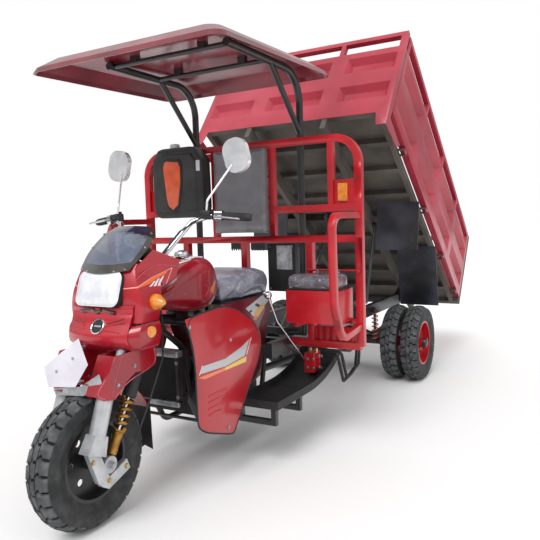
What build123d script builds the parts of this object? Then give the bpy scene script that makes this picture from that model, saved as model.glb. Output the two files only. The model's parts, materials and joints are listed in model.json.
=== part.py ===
"""Tipping cargo tricycle with canopy: one solid or group of like solids per STEP file.

Millimetres. X points to the rider's left, -Y is the way it drives, +Z is up, the ground is Z = 0.
The origin is on the ground, in the middle of the length and width with the bed tipped.
"""
import os
from math import cos, radians, sin, tan

from build123d import *

os.makedirs("parts", exist_ok=True)

# ---------------------------------------------------------------- wheels
TYRE_R = 273.0            # 4.50-12 tyre, outer radius over the tread blocks
TYRE_W = 122.0            # section width
RIM_R = 166.0             # rim flange radius
RIM_SEAT_R = 152.0        # bead seat radius
RIM_W = 92.0              # rim width over the flanges
HUB_R = 38.0
HUB_BORE_R = 15.05        # turns on the axle with a running clearance
RUN = 0.05                # running clearance of a pin in its bore
SEAT = 0.3                # gap left between pieces that rest on each other
TOUCH = 5.0               # least gap between pieces that move past each other

WHEELBASE = 2700.0
TWIN_PITCH = 152.0        # between the two tyres of a rear pair
REAR_TRACK = 994.0        # between the middles of the rear pairs

# ---------------------------------------------------------------- bed
BED_TILT = 36.9           # degrees above level, as it stands
BED_L = 2299.0            # outside length
BED_HALF_W = 680.0        # outside half width
BED_WALL_H = 525.0        # height of the sheet walls over the floor's underside
BED_RAIL_H = 659.0        # top of the open rail over the floor's underside
BED_OVERHANG = 350.0      # from the tipping pin to the rear edge
BED_FLOOR_UP = 110.0      # from the tipping pin to the floor's underside
PIN_Y_FROM_AXLE = 584.0   # tipping pin behind the rear axle
PIN_Z = 595.2             # tipping pin's height
PIN_R = 12.0

# where the front axle lies, so that the origin is in the middle of the length
BED_TOP_REAR = (BED_OVERHANG * cos(radians(BED_TILT))
                + (BED_FLOOR_UP + BED_RAIL_H) * sin(radians(BED_TILT)))
FA = -(WHEELBASE + PIN_Y_FROM_AXLE + BED_TOP_REAR - TYRE_R) / 2
REAR_Y = FA + WHEELBASE
PIN_Y = REAR_Y + PIN_Y_FROM_AXLE

# bed axes: origin on the tipping pin, local Y to the rear along the floor, local Z out of it
BED = Plane(origin=(0, PIN_Y, PIN_Z), x_dir=(1, 0, 0),
            z_dir=(0, sin(radians(BED_TILT)), cos(radians(BED_TILT))))


def bed_face(y):
    """Plane across the bed at y, local x to the left and local y up the wall."""
    return Plane(origin=BED.from_local_coords(Vector(0, y, 0)), x_dir=BED.x_dir,
                 z_dir=-BED.y_dir)


def bed_side(x):
    """Plane along the bed at x, local x to the rear and local y up the wall."""
    return Plane(origin=BED.from_local_coords(Vector(x, 0, 0)), x_dir=BED.y_dir, z_dir=BED.x_dir)


def side(x):
    """Upright plane along the vehicle at x, local x to the rear, local y up."""
    return Plane(origin=(x, 0, 0), x_dir=(0, 1, 0), z_dir=(1, 0, 0))


def across(y):
    """Upright plane across the vehicle at y, local x to the left, local y up."""
    return Plane(origin=(0, y, 0), x_dir=(1, 0, 0), z_dir=(0, -1, 0))


# ---------------------------------------------------------------- chassis
RAIL_X = 270.0            # middle of each chassis rail
RAIL_W = 40.0
RAIL_TOP = 570.0
RAIL_H = 80.0
RAIL_FRONT = FA + 1000.0
RAIL_END = PIN_Y - 34.0
AXLE_TUBE_R = 36.0
AXLE_TUBE_X = 330.0       # half length of the axle casing
AXLE_STUB_R = HUB_BORE_R - RUN

# tipping cylinder
RAM_Y = FA + 1600.0       # foot's pin
RAM_Z = 450.0
EYE_BACK = 984.0          # rod's eye ahead of the tipping pin, along the floor
EYE_UP = 10.0
BARREL_L = 640.0
BARREL_R = 34.0
ROD_R = 20.0

# safety prop, on the bed's left beam
PROP_BACK = 913.0
PROP_UP = 10.0

# steering axis
RAKE = 21.0
HEAD_Y = FA + 195.0       # lower end of the head tube
HEAD_Z = 820.0
HEAD_L = 160.0
HEAD_R = 27.0
STEM_R = 16.0
STEER = Plane(origin=(0, HEAD_Y, HEAD_Z), x_dir=(1, 0, 0),
              z_dir=(0, sin(radians(RAKE)), cos(radians(RAKE))))
FORK_X = 110.0
FORK_R = 33.0
FORK_LEAD = 80.0          # legs ahead of the steering axis
FORK_DOWN = 550.0         # soles of the fork's feet under the head tube
FORK_LEG_TOP = -180.0     # upper end of the thick legs
FORK_TOP_R = 19.0         # thinner tubes above them
FORK_TOP_LEAD = 45.0
CROWN_T = 18.0


def steer_side(x):
    """Plane along the steering axis at x, local x behind the axis, local y up it."""
    return Plane(origin=STEER.from_local_coords(Vector(x, 0, 0)), x_dir=STEER.y_dir, z_dir=STEER.x_dir)


def at_steer(x, y, z):
    """Point in the steering axes, y behind the axis and z above the head tube's lower end."""
    return STEER.from_local_coords(Vector(x, y, z))


# head frame behind the seat
FRAME_Y = FA + 1240.0
FRAME_HALF_W = 710.0
FRAME_TUBE = 38.0
FRAME_TOP = 1640.0
FRAME_BAR_Z = 1102.0      # lower cross bar
FRAME_MID_Z = 1263.0      # short bar at each side
FRAME_LOW_Z = 541.0       # bottom bar
FRAME_CORNER_R = 130.0
FRAME_IN_X = 190.0        # inner uprights
FRAME_OUT_X = 540.0       # short outer uprights
LOW_POST_X = 410.0
FRAME_FRONT = FRAME_Y - FRAME_TUBE / 2
FRAME_REAR = FRAME_Y + FRAME_TUBE / 2

# canopy
POST_X = 345.0
POST_R = 19.0
POST_Y = FRAME_REAR + SEAT + POST_R
ROOF_HALF_W = 534.0
ROOF_FRONT = FA + 252.0
ROOF_REAR = FA + 1289.0
ROOF_FRONT_Z = 1908.0
ROOF_REAR_Z = 1939.0
ROOF_RISE = 100.0         # crown over the rim
ROOF_T = 4.0
ARM_Z = 1985.0

# seats
BOX_IN = 366.0
BOX_OUT = 655.0
BOX_FRONT = FA + 1026.0
BOX_REAR = FRAME_FRONT - SEAT
BOX_BOT = 683.0
BOX_TOP = 850.0
BOX_T = 3.0
CUSHION_H = 70.0
LID_T = 4.0
LID_PIN_Z = BOX_TOP + SEAT + LID_T + CUSHION_H + 14.0
LID_PIN_Y = FRAME_FRONT - 14.0
LID_PIN_R = 6.0

BOARD_OUT = 442.0         # footboard's outer edge
BOARD_IN = 200.0
BOARD_Z = 301.0
BOARD_FRONT = FA + 775.0

# ================================================================ wheels


def tyre_face(x, y):
    """Plane of a tyre's section at x: local x along the axle, local y away from it."""
    return Plane(origin=(x, y, TYRE_R), x_dir=(1, 0, 0), z_dir=(0, -1, 0))


TYRE_AT = {
    "front_tyre": (FA, [0.0]),
    "rear_tyres_left": (REAR_Y, [(REAR_TRACK - TWIN_PITCH) / 2, (REAR_TRACK + TWIN_PITCH) / 2]),
    "rear_tyres_right": (REAR_Y, [-(REAR_TRACK - TWIN_PITCH) / 2, -(REAR_TRACK + TWIN_PITCH) / 2]),
}
for label, (wheel_y, places) in TYRE_AT.items():
    with BuildPart() as tyre:
        for x in places:
            with BuildSketch(tyre_face(x, wheel_y)):
                with BuildLine():
                    Polyline((-RIM_W / 2 + 6, RIM_SEAT_R + SEAT), (RIM_W / 2 - 6, RIM_SEAT_R + SEAT))
                    Line((RIM_W / 2 - 6, RIM_SEAT_R + SEAT), (RIM_W / 2 - 6, RIM_R + 4))
                    ThreePointArc((RIM_W / 2 - 6, RIM_R + 4), (TYRE_W / 2, (TYRE_R + RIM_R) / 2 - 4),
                                  (TYRE_W * 0.44, TYRE_R - 18))
                    ThreePointArc((TYRE_W * 0.44, TYRE_R - 18), (0, TYRE_R),
                                  (-TYRE_W * 0.44, TYRE_R - 18))
                    ThreePointArc((-TYRE_W * 0.44, TYRE_R - 18),
                                  (-TYRE_W / 2, (TYRE_R + RIM_R) / 2 - 4), (-RIM_W / 2 + 6, RIM_R + 4))
                    Line((-RIM_W / 2 + 6, RIM_R + 4), (-RIM_W / 2 + 6, RIM_SEAT_R + SEAT))
                make_face()
            revolve(axis=Axis((x, wheel_y, TYRE_R), (1, 0, 0)))
    tyre.part.label = label
    export_step(tyre.part, "parts/" + label + ".step")

RIM_AT = {
    "front_rim": (FA, [(0.0, 1)]),
    "rear_rims_left": (REAR_Y, [((REAR_TRACK - TWIN_PITCH) / 2, -1), ((REAR_TRACK + TWIN_PITCH) / 2, 1)]),
    "rear_rims_right": (REAR_Y, [(-(REAR_TRACK - TWIN_PITCH) / 2, 1), (-(REAR_TRACK + TWIN_PITCH) / 2, -1)]),
}
for label, (wheel_y, places) in RIM_AT.items():
    with BuildPart() as rim:
        for x, out in places:
            with BuildSketch(tyre_face(x, wheel_y)):
                with BuildLine():
                    # barrel with a flange each side
                    Polyline((-RIM_W / 2, RIM_R), (-RIM_W / 2 + 5.7, RIM_R), (-RIM_W / 2 + 5.7, RIM_SEAT_R),
                             (RIM_W / 2 - 5.7, RIM_SEAT_R), (RIM_W / 2 - 5.7, RIM_R), (RIM_W / 2, RIM_R),
                             (RIM_W / 2, RIM_SEAT_R - 5), (-RIM_W / 2, RIM_SEAT_R - 5), close=True)
                make_face()
            revolve(axis=Axis((x, wheel_y, TYRE_R), (1, 0, 0)))
            # disc
            with BuildSketch(Plane(origin=(x, wheel_y, TYRE_R), x_dir=(0, 1, 0), z_dir=(1, 0, 0))):
                Circle(RIM_SEAT_R - 5)
                Circle(HUB_BORE_R, mode=Mode.SUBTRACT)
                with PolarLocations(92, 6):
                    Circle(15, mode=Mode.SUBTRACT)
            extrude(amount=-8 * out)
        # hub barrel through all discs
        inner = min(x for x, _ in places) - 40
        outer = max(x for x, _ in places) + 40
        with BuildSketch(Plane(origin=(inner, wheel_y, TYRE_R), x_dir=(0, 1, 0), z_dir=(1, 0, 0))):
            Circle(HUB_R)
            Circle(HUB_BORE_R, mode=Mode.SUBTRACT)
        extrude(amount=outer - inner)
    rim.part.label = label
    export_step(rim.part, "parts/" + label + ".step")

# ================================================================ running gear
with BuildPart() as rear_axle:
    with Locations((0, REAR_Y, TYRE_R)):
        Cylinder(AXLE_TUBE_R, 2 * AXLE_TUBE_X, rotation=(0, 90, 0))
        Cylinder(AXLE_STUB_R, REAR_TRACK + TWIN_PITCH + 2 * 30, rotation=(0, 90, 0))
        Cylinder(118, 70, rotation=(0, 90, 0))
        Cylinder(90, 150, rotation=(0, 90, 0))
    with Locations((0, REAR_Y - 150, TYRE_R)):
        Cylinder(34, 120, rotation=(90, 0, 0))
    with Locations(*[(s * RAIL_X, REAR_Y, TYRE_R + AXLE_TUBE_R) for s in (-1, 1)]):
        Box(60, 110, 24)
rear_axle.part.label = "rear_axle"
export_step(rear_axle.part, "parts/rear_axle.step")

SPRING_LEAF = 26.0
SPRING_Z = TYRE_R + AXLE_TUBE_R + 12 + SEAT
SPRING_HALF = 430.0
SPRING_END_Z = 450.0
with BuildPart() as leaf_springs:
    for s in (-1, 1):
        with BuildSketch(side(s * RAIL_X - 25)):
            with BuildLine():
                a = ThreePointArc((REAR_Y - SPRING_HALF, SPRING_END_Z), (REAR_Y, SPRING_Z),
                                  (REAR_Y + SPRING_HALF, SPRING_END_Z))
                b = ThreePointArc((REAR_Y - SPRING_HALF, SPRING_END_Z + 9),
                                  (REAR_Y, SPRING_Z + SPRING_LEAF),
                                  (REAR_Y + SPRING_HALF, SPRING_END_Z + 9))
                Line(a @ 0, b @ 0)
                Line(a @ 1, b @ 1)
            make_face()
        extrude(amount=50)
        for e in (-1, 1):
            with Locations((s * RAIL_X, REAR_Y + e * SPRING_HALF, RAIL_TOP - RAIL_H - SEAT - 20)):
                Box(50, 50, 40)
leaf_springs.part.label = "leaf_springs"
export_step(leaf_springs.part, "parts/leaf_springs.step")

SHOCK_Y = REAR_Y - 215.0
SHOCK_X = RAIL_X + RAIL_W / 2 + SEAT + 26
with BuildPart() as rear_shocks:
    for s in (-1, 1):
        with Locations((s * SHOCK_X, SHOCK_Y, RAIL_TOP - 30 - 120)):
            Cylinder(10, 260)
        for i in range(9):
            with Locations((s * SHOCK_X, SHOCK_Y, RAIL_TOP - 30 - 20 - i * 16)):
                Cylinder(25, 8)
        with Locations((s * (SHOCK_X - 15), SHOCK_Y, RAIL_TOP - 30)):
            Box(21, 30, 30)
rear_shocks.part.label = "rear_shocks"
export_step(rear_shocks.part, "parts/rear_shocks.step")

# ================================================================ chassis
DOWN_Y = FA + 520.0
CRADLE_Z = 235.0
CRADLE_R = 14.0
SPINE_R = 24.0
TANK_SEAT_Y = FA + 600.0
TANK_BOT = 790.0          # underside of the tank over its saddle
SADDLE_BOT = 741.0        # inside the backbone tube
RAD_Y = FA + 455.0
RAD_T = 44.0
RADIATOR_HALF_W = 140.0
SHIELD_X = 300.0          # middle of each leg shield
SHIELD_T = 4.0
COWL_X = 165.0
COWL_T = 4.0
SEAT_BOT = 805.0          # underside of the rider's seat
TRAY_T = 8.0
with BuildPart() as chassis_frame:
    for s in (-1, 1):
        with BuildSketch(across(RAIL_FRONT)):
            with Locations((s * RAIL_X, RAIL_TOP - RAIL_H / 2)):
                Rectangle(RAIL_W, RAIL_H)
        extrude(amount=-(RAIL_END - RAIL_FRONT))
        # ears that hold the tipping pin
        for e in (-1, 1):
            x0 = s * RAIL_X + e * (RAIL_W / 2) - (6 if e < 0 else 0)
            with BuildSketch(side(x0)):
                with Locations((PIN_Y, PIN_Z)):
                    Circle(28)
                Polygon((PIN_Y - 130, RAIL_TOP - 60), (PIN_Y - 130, RAIL_TOP - 10), (PIN_Y - 24, PIN_Z + 14),
                        (PIN_Y + 24, PIN_Z - 14), (PIN_Y - 40, RAIL_TOP - 70), align=None)
            extrude(amount=6)
        # tipping pin
        with Locations((s * RAIL_X, PIN_Y, PIN_Z)):
            Cylinder(PIN_R, RAIL_W + 24, rotation=(0, 90, 0))
    # cross members
    for y in (RAIL_FRONT + 20, FRAME_Y, RAM_Y - 56, REAR_Y - 180, REAR_Y + 360):
        with Locations((0, y, RAIL_TOP - RAIL_H / 2)):
            Box(2 * RAIL_X, 40, 40)
    # ears of the tipping cylinder's foot, with its pin
    for s in (-1, 1):
        with Locations((s * (BARREL_R + TOUCH + 5), RAM_Y - 28, (RAM_Z - 26 + RAIL_TOP - RAIL_H / 2) / 2)):
            Box(8, 100, RAIL_TOP - RAIL_H / 2 - RAM_Z + 26)
    with Locations((0, RAM_Y, RAM_Z)):
        Cylinder(12, 2 * (BARREL_R + TOUCH + 6), rotation=(0, 90, 0))
    # spine up to the neck behind the head tube
    neck = at_steer(0, 60, 75)
    with BuildLine():
        spine = FilletPolyline((0, RAIL_FRONT + 20, RAIL_TOP - RAIL_H / 2), (0, FA + 720, 715),
                               (0, FA + 400, 783), neck, radius=80)
    with BuildSketch(Plane(spine @ 0, z_dir=spine % 0)):
        Circle(SPINE_R)
    sweep(path=spine)
    with BuildSketch(steer_side(-22)):
        Polygon((HEAD_R - 6, 25), (HEAD_R - 6, 135), (95, 112), (112, 38), align=None)
    extrude(amount=44)
    # head tube
    with BuildSketch(STEER):
        Circle(HEAD_R)
        Circle(STEM_R + RUN, mode=Mode.SUBTRACT)
    extrude(amount=HEAD_L)
    # engine cradle
    for s in (-1, 1):
        with BuildLine():
            cradle = FilletPolyline(at_steer(s * 14, 90, 60), (s * 98, FA + 500, 640), (s * 115, DOWN_Y, 400),
                                    (s * 115, DOWN_Y + 90, CRADLE_Z), (s * 115, FRAME_Y - 70, CRADLE_Z),
                                    (s * 115, FRAME_Y, RAIL_TOP - RAIL_H / 2), radius=60)
        with BuildSketch(Plane(cradle @ 0, z_dir=cradle % 0)):
            Circle(CRADLE_R)
        sweep(path=cradle)
        # pads behind the radiator
        for z in (415, 612):
            with Locations((s * 106, RAD_Y + RAD_T / 2 + SEAT + 20, z)):
                Box(26, 40, 26)
    # bars under the engine
    for y in (FA + 760, FA + 960):
        with Locations((0, y, CRADLE_Z)):
            Cylinder(10, 230, rotation=(0, 90, 0))
    # saddle under the tank
    with Locations((0, TANK_SEAT_Y, (SADDLE_BOT + TANK_BOT - SEAT) / 2)):
        Box(60, 90, TANK_BOT - SEAT - SADDLE_BOT)
    # bars that carry the leg shields
    for y, z in ((FA + 560, 748), (FA + 577, 270)):
        with Locations((0, y, z)):
            Cylinder(8, 2 * (SHIELD_X - SHIELD_T / 2 - SEAT), rotation=(0, 90, 0))
    # tray under the rider's seat, on two stays
    with Locations((0, FA + 990, SEAT_BOT - SEAT - TRAY_T / 2)):
        Box(2 * (COWL_X - COWL_T / 2 - SEAT), 420, TRAY_T)
    for s in (-1, 1):
        with Locations((s * 120, RAIL_FRONT + 20, (RAIL_TOP - 40 + SEAT_BOT - SEAT - TRAY_T) / 2)):
            Box(24, 24, SEAT_BOT - SEAT - TRAY_T - RAIL_TOP + 40)
    # footboard bearers
    for y in (FA + 800, FA + 1060):
        with Locations((0, y, CRADLE_Z - 4)):
            Box(2 * (BOARD_OUT - 20), 26, 26)
        for x in (BOARD_IN + 20, BOARD_OUT - 33):
            for s in (-1, 1):
                with Locations((s * x, y, (CRADLE_Z + BOARD_Z - SEAT) / 2)):
                    Box(26, 26, BOARD_Z - SEAT - CRADLE_Z)
chassis_frame.part.label = "chassis_frame"
export_step(chassis_frame.part, "parts/chassis_frame.step")

# ================================================================ head frame
SIDE_PLATE_H = 144.0
ARMREST_X = FRAME_HALF_W - 20
ARMREST_TUBE = 32.0
ARMREST_Z = 1221.0
ARMREST_FRONT = FA + 890.0
ARMREST_LOW_Z = 625.0
ARMREST_BEND = 70.0
LOW_PANEL_TOP = 95.0      # pressed panel's top over the middle of the bottom bar
with BuildPart() as head_frame:
    # outer hoop: square tube up one side, across the top and down the other
    with BuildLine():
        w = FRAME_HALF_W - FRAME_TUBE / 2
        hoop = FilletPolyline((-w, FRAME_Y, FRAME_LOW_Z), (-w, FRAME_Y, FRAME_TOP - FRAME_TUBE / 2),
                              (w, FRAME_Y, FRAME_TOP - FRAME_TUBE / 2), (w, FRAME_Y, FRAME_LOW_Z),
                              radius=FRAME_CORNER_R)
    with BuildSketch(Plane(hoop @ 0, z_dir=hoop % 0)):
        Rectangle(FRAME_TUBE, FRAME_TUBE)
    sweep(path=hoop)
    with Locations((0, FRAME_Y, FRAME_BAR_Z)):
        Box(2 * w, FRAME_TUBE, FRAME_TUBE)
    for s in (-1, 1):
        # bottom bar, short of the chassis rail
        inner = RAIL_X + RAIL_W / 2 + SEAT
        with Locations((s * (inner + w) / 2, FRAME_Y, FRAME_LOW_Z)):
            Box(w - inner, FRAME_TUBE, FRAME_TUBE)
        with Locations((s * (FRAME_IN_X + w) / 2, FRAME_Y, FRAME_MID_Z)):
            Box(w - FRAME_IN_X, FRAME_TUBE, FRAME_TUBE)
        with Locations((s * FRAME_IN_X, FRAME_Y, (FRAME_BAR_Z + FRAME_TOP - FRAME_TUBE / 2) / 2)):
            Box(30, FRAME_TUBE, FRAME_TOP - FRAME_TUBE / 2 - FRAME_BAR_Z)
        with Locations((s * FRAME_OUT_X, FRAME_Y, (FRAME_MID_Z + FRAME_TOP - FRAME_TUBE / 2) / 2)):
            Box(30, FRAME_TUBE, FRAME_TOP - FRAME_TUBE / 2 - FRAME_MID_Z)
        with Locations((s * LOW_POST_X, FRAME_Y, (FRAME_LOW_Z + FRAME_BAR_Z) / 2)):
            Box(FRAME_TUBE, FRAME_TUBE, FRAME_BAR_Z - FRAME_LOW_Z)
        # plate that carries the reflector
        with Locations((s * (FRAME_OUT_X + w) / 2, FRAME_Y, FRAME_MID_Z + SIDE_PLATE_H / 2)):
            Box(w - FRAME_OUT_X, 3, SIDE_PLATE_H)
        # pressed panel under the passenger box
        with Locations((s * (LOW_POST_X + w) / 2, FRAME_Y, FRAME_LOW_Z + LOW_PANEL_TOP - 50)):
            Box(w - LOW_POST_X, 3, 100)
        for i in range(6):
            with Locations((s * (LOW_POST_X + 45 + i * 38), FRAME_Y - 4, FRAME_LOW_Z + 45)):
                Box(16, 8, 92)
        # brackets under the passenger box
        for x in (LOW_POST_X, BOX_OUT - 25):
            with Locations((s * x, (BOX_FRONT + 20 + FRAME_Y) / 2, BOX_BOT - SEAT - 12)):
                Box(24, FRAME_Y - BOX_FRONT - 20, 24)
        with Locations((s * (BOX_OUT - 25 + w) / 2, FRAME_Y, BOX_BOT - SEAT - 12)):
            Box(w - BOX_OUT + 25, 24, 24)
        # pin that the passenger cushion hinges on
        with Locations((s * (LOW_POST_X + w) / 2, LID_PIN_Y, LID_PIN_Z)):
            Cylinder(LID_PIN_R, w - LOW_POST_X + 16, rotation=(0, 90, 0))
        for x in (LOW_POST_X, w):
            with Locations((s * x, (LID_PIN_Y - LID_PIN_R + FRAME_FRONT) / 2, LID_PIN_Z)):
                Box(14, FRAME_FRONT - LID_PIN_Y + LID_PIN_R, 20)
    # middle post down to the cross member
    foot = RAIL_TOP - RAIL_H / 2 + 20 + SEAT
    with Locations((0, FRAME_Y, (foot + FRAME_BAR_Z) / 2)):
        Box(FRAME_TUBE, FRAME_TUBE, FRAME_BAR_Z - foot)
    # the frame is welded from short tubes, each a solid that meets the next face to face
    split(bisect_by=across(FRAME_FRONT), keep=Keep.BOTH)
    for z in (FRAME_BAR_Z, FRAME_MID_Z):
        for e in (-1, 1):
            split(bisect_by=Plane.XY.offset(z + e * FRAME_TUBE / 2), keep=Keep.BOTH)
    for z in (FRAME_LOW_Z + FRAME_TUBE / 2, FRAME_LOW_Z + LOW_PANEL_TOP, FRAME_MID_Z + SIDE_PLATE_H,
              FRAME_TOP - FRAME_TUBE):
        split(bisect_by=Plane.XY.offset(z), keep=Keep.BOTH)
head_frame.part.label = "head_frame"
export_step(head_frame.part, "parts/head_frame.step")

# armrest loops beside the passengers, each bent from tube and welded to the frame's outer posts
with BuildPart() as armrests:
    for s in (-1, 1):
        with BuildLine():
            loop = FilletPolyline((s * ARMREST_X, FRAME_Y, ARMREST_Z),
                                  (s * ARMREST_X, ARMREST_FRONT, ARMREST_Z),
                                  (s * ARMREST_X, ARMREST_FRONT + 10, 800),
                                  (s * ARMREST_X, ARMREST_FRONT + 90, ARMREST_LOW_Z),
                                  (s * ARMREST_X, FRAME_Y, ARMREST_LOW_Z + 25), radius=ARMREST_BEND)
        with BuildSketch(Plane(loop @ 0, x_dir=(1, 0, 0), z_dir=loop % 0)):
            Rectangle(ARMREST_TUBE, ARMREST_TUBE)
        sweep(path=loop)
    split(bisect_by=across(FRAME_FRONT), keep=Keep.TOP)
    # bent parts and straight ones are solids of their own, so that an arm fits through the loop
    arch_z = ARMREST_Z - ARMREST_BEND
    for z in (ARMREST_Z - ARMREST_TUBE / 2, arch_z + ARMREST_BEND / 2, arch_z, 800 + ARMREST_BEND / 2,
              800 - ARMREST_BEND / 2, ARMREST_LOW_Z + ARMREST_BEND):
        split(bisect_by=Plane.XY.offset(z), keep=Keep.BOTH)
armrests.part.label = "armrests"
export_step(armrests.part, "parts/armrests.step")

with BuildPart() as passenger_boxes:
    for s in (-1, 1):
        mid_x, mid_y = s * (BOX_IN + BOX_OUT) / 2, (BOX_FRONT + BOX_REAR) / 2
        with Locations((mid_x, mid_y, (BOX_BOT + BOX_TOP) / 2)):
            Box(BOX_OUT - BOX_IN, BOX_REAR - BOX_FRONT, BOX_TOP - BOX_BOT)
        with Locations((mid_x, mid_y, (BOX_BOT + BOX_TOP) / 2 + BOX_T)):
            Box(BOX_OUT - BOX_IN - 2 * BOX_T, BOX_REAR - BOX_FRONT - 2 * BOX_T, BOX_TOP - BOX_BOT,
                mode=Mode.SUBTRACT)
passenger_boxes.part.label = "passenger_boxes"
export_step(passenger_boxes.part, "parts/passenger_boxes.step")

CUSHION_REAR = LID_PIN_Y - LID_PIN_R - 8
for s, label in ((1, "passenger_seat_left"), (-1, "passenger_seat_right")):
    with BuildPart() as seat:
        mid_x = s * (BOX_IN + BOX_OUT) / 2
        with Locations((mid_x, (BOX_FRONT + CUSHION_REAR) / 2, BOX_TOP + SEAT + LID_T + CUSHION_H / 2)):
            Box(BOX_OUT - BOX_IN, CUSHION_REAR - BOX_FRONT, CUSHION_H)
        fillet(seat.edges().filter_by(Axis.Z), 25)
        fillet(seat.faces().sort_by(Axis.Z)[-1].edges(), 18)
        # base board and two straps up to the pin
        with Locations((mid_x, (BOX_FRONT + CUSHION_REAR) / 2, BOX_TOP + SEAT + (LID_T + 2) / 2)):
            Box(BOX_OUT - BOX_IN - 20, CUSHION_REAR - BOX_FRONT - 16, LID_T + 2)
        for x in (LOW_POST_X + 60, BOX_OUT - 60):
            with Locations((s * x, CUSHION_REAR - 1, (BOX_TOP + SEAT + LID_T + 1 + LID_PIN_Z) / 2)):
                Box(24, 10, LID_PIN_Z - BOX_TOP - SEAT - LID_T - 1)
            with Locations((s * x, LID_PIN_Y, LID_PIN_Z)):
                Cylinder(LID_PIN_R + 5, 20, rotation=(0, 90, 0))
                Cylinder(LID_PIN_R + RUN, 60, rotation=(0, 90, 0), mode=Mode.SUBTRACT)
    seat.part.label = label
    export_step(seat.part, "parts/" + label + ".step")

# ================================================================ rider's place
with BuildPart() as rider_seat:
    with BuildSketch(side(-160)):
        with BuildLine():
            Spline((FA + 791, SEAT_BOT + 60), (FA + 820, SEAT_BOT + 98), (FA + 930, SEAT_BOT + 112),
                   (FA + 1090, SEAT_BOT + 143), (FA + 1185, SEAT_BOT + 126), (FA + 1220, SEAT_BOT + 60))
            Polyline((FA + 1220, SEAT_BOT + 60), (FA + 1200, SEAT_BOT), (FA + 800, SEAT_BOT),
                     (FA + 791, SEAT_BOT + 60))
        make_face()
    extrude(amount=320)
    # the nose of the seat narrows to the tank
    for s in (-1, 1):
        with BuildSketch(Plane.XY.offset(SEAT_BOT - 5)):
            Polygon((s * 95, FA + 700), (s * 105, FA + 750), (s * 161, FA + 960), (s * 200, FA + 960),
                    (s * 200, FA + 700), align=None)
        extrude(amount=200, mode=Mode.SUBTRACT)
rider_seat.part.label = "rider_seat"
export_step(rider_seat.part, "parts/rider_seat.step")

with BuildPart() as fuel_tank:
    for y, half, bot, top, r in ((FA + 415, 70, 828, 905, 30), (FA + 480, 118, 812, 962, 50),
                                 (FA + 560, 150, TANK_BOT + 4, 1018, 62), (FA + 640, 156, TANK_BOT, 1040, 66),
                                 (FA + 720, 138, TANK_BOT + 6, 1030, 62), (FA + 790, 108, 828, 960, 50)):
        with BuildSketch(across(y)):
            with Locations((0, (top + bot) / 2)):
                RectangleRounded(2 * half, top - bot, r)
    loft()
    # flat seat of the saddle, then the filler cap
    with Locations((0, TANK_SEAT_Y, TANK_BOT - 20)):
        Box(70, 100, 40, mode=Mode.SUBTRACT)
    with Locations((0, FA + 655, 1046)):
        Cylinder(34, 20)
fuel_tank.part.label = "fuel_tank"
export_step(fuel_tank.part, "parts/fuel_tank.step")

with BuildPart() as side_cowls:
    for s in (-1, 1):
        with BuildSketch(side(s * COWL_X - COWL_T / 2)):
            Polygon((FA + 740, 802), (FA + 1215, 802), (FA + 1232, 752), (FA + 1180, 640),
                    (FA + 1120, 480), (FA + 1085, 372), (FA + 985, 350), (FA + 915, 372),
                    (FA + 800, 560), (FA + 735, 700), align=None)
        extrude(amount=COWL_T)
    # room for the cross member
    with Locations((0, RAIL_FRONT + 20, RAIL_TOP - RAIL_H / 2)):
        Box(2 * RAIL_X, 40 + 2 * SEAT, 40 + 2 * SEAT, mode=Mode.SUBTRACT)
side_cowls.part.label = "side_cowls"
export_step(side_cowls.part, "parts/side_cowls.step")

with BuildPart() as leg_shields:
    for s in (-1, 1):
        with BuildSketch(side(s * SHIELD_X - SHIELD_T / 2)):
            with BuildLine():
                Polyline((FA + 275, 810), (FA + 400, 822), (FA + 513, 830))
                Spline((FA + 513, 830), (FA + 600, 822), (FA + 709, 780), (FA + 820, 712), (FA + 876, 614),
                       (FA + 841, 520), (FA + 761, 430))
                Polyline((FA + 761, 430), (FA + 615, 236), (FA + 595, 226), (FA + 395, 296), (FA + 345, 330),
                         (FA + 334, 360), (FA + 333, 560), (FA + 322, 690), (FA + 275, 810))
            make_face()
        extrude(amount=SHIELD_T)
leg_shields.part.label = "leg_shields"
export_step(leg_shields.part, "parts/leg_shields.step")

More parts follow.
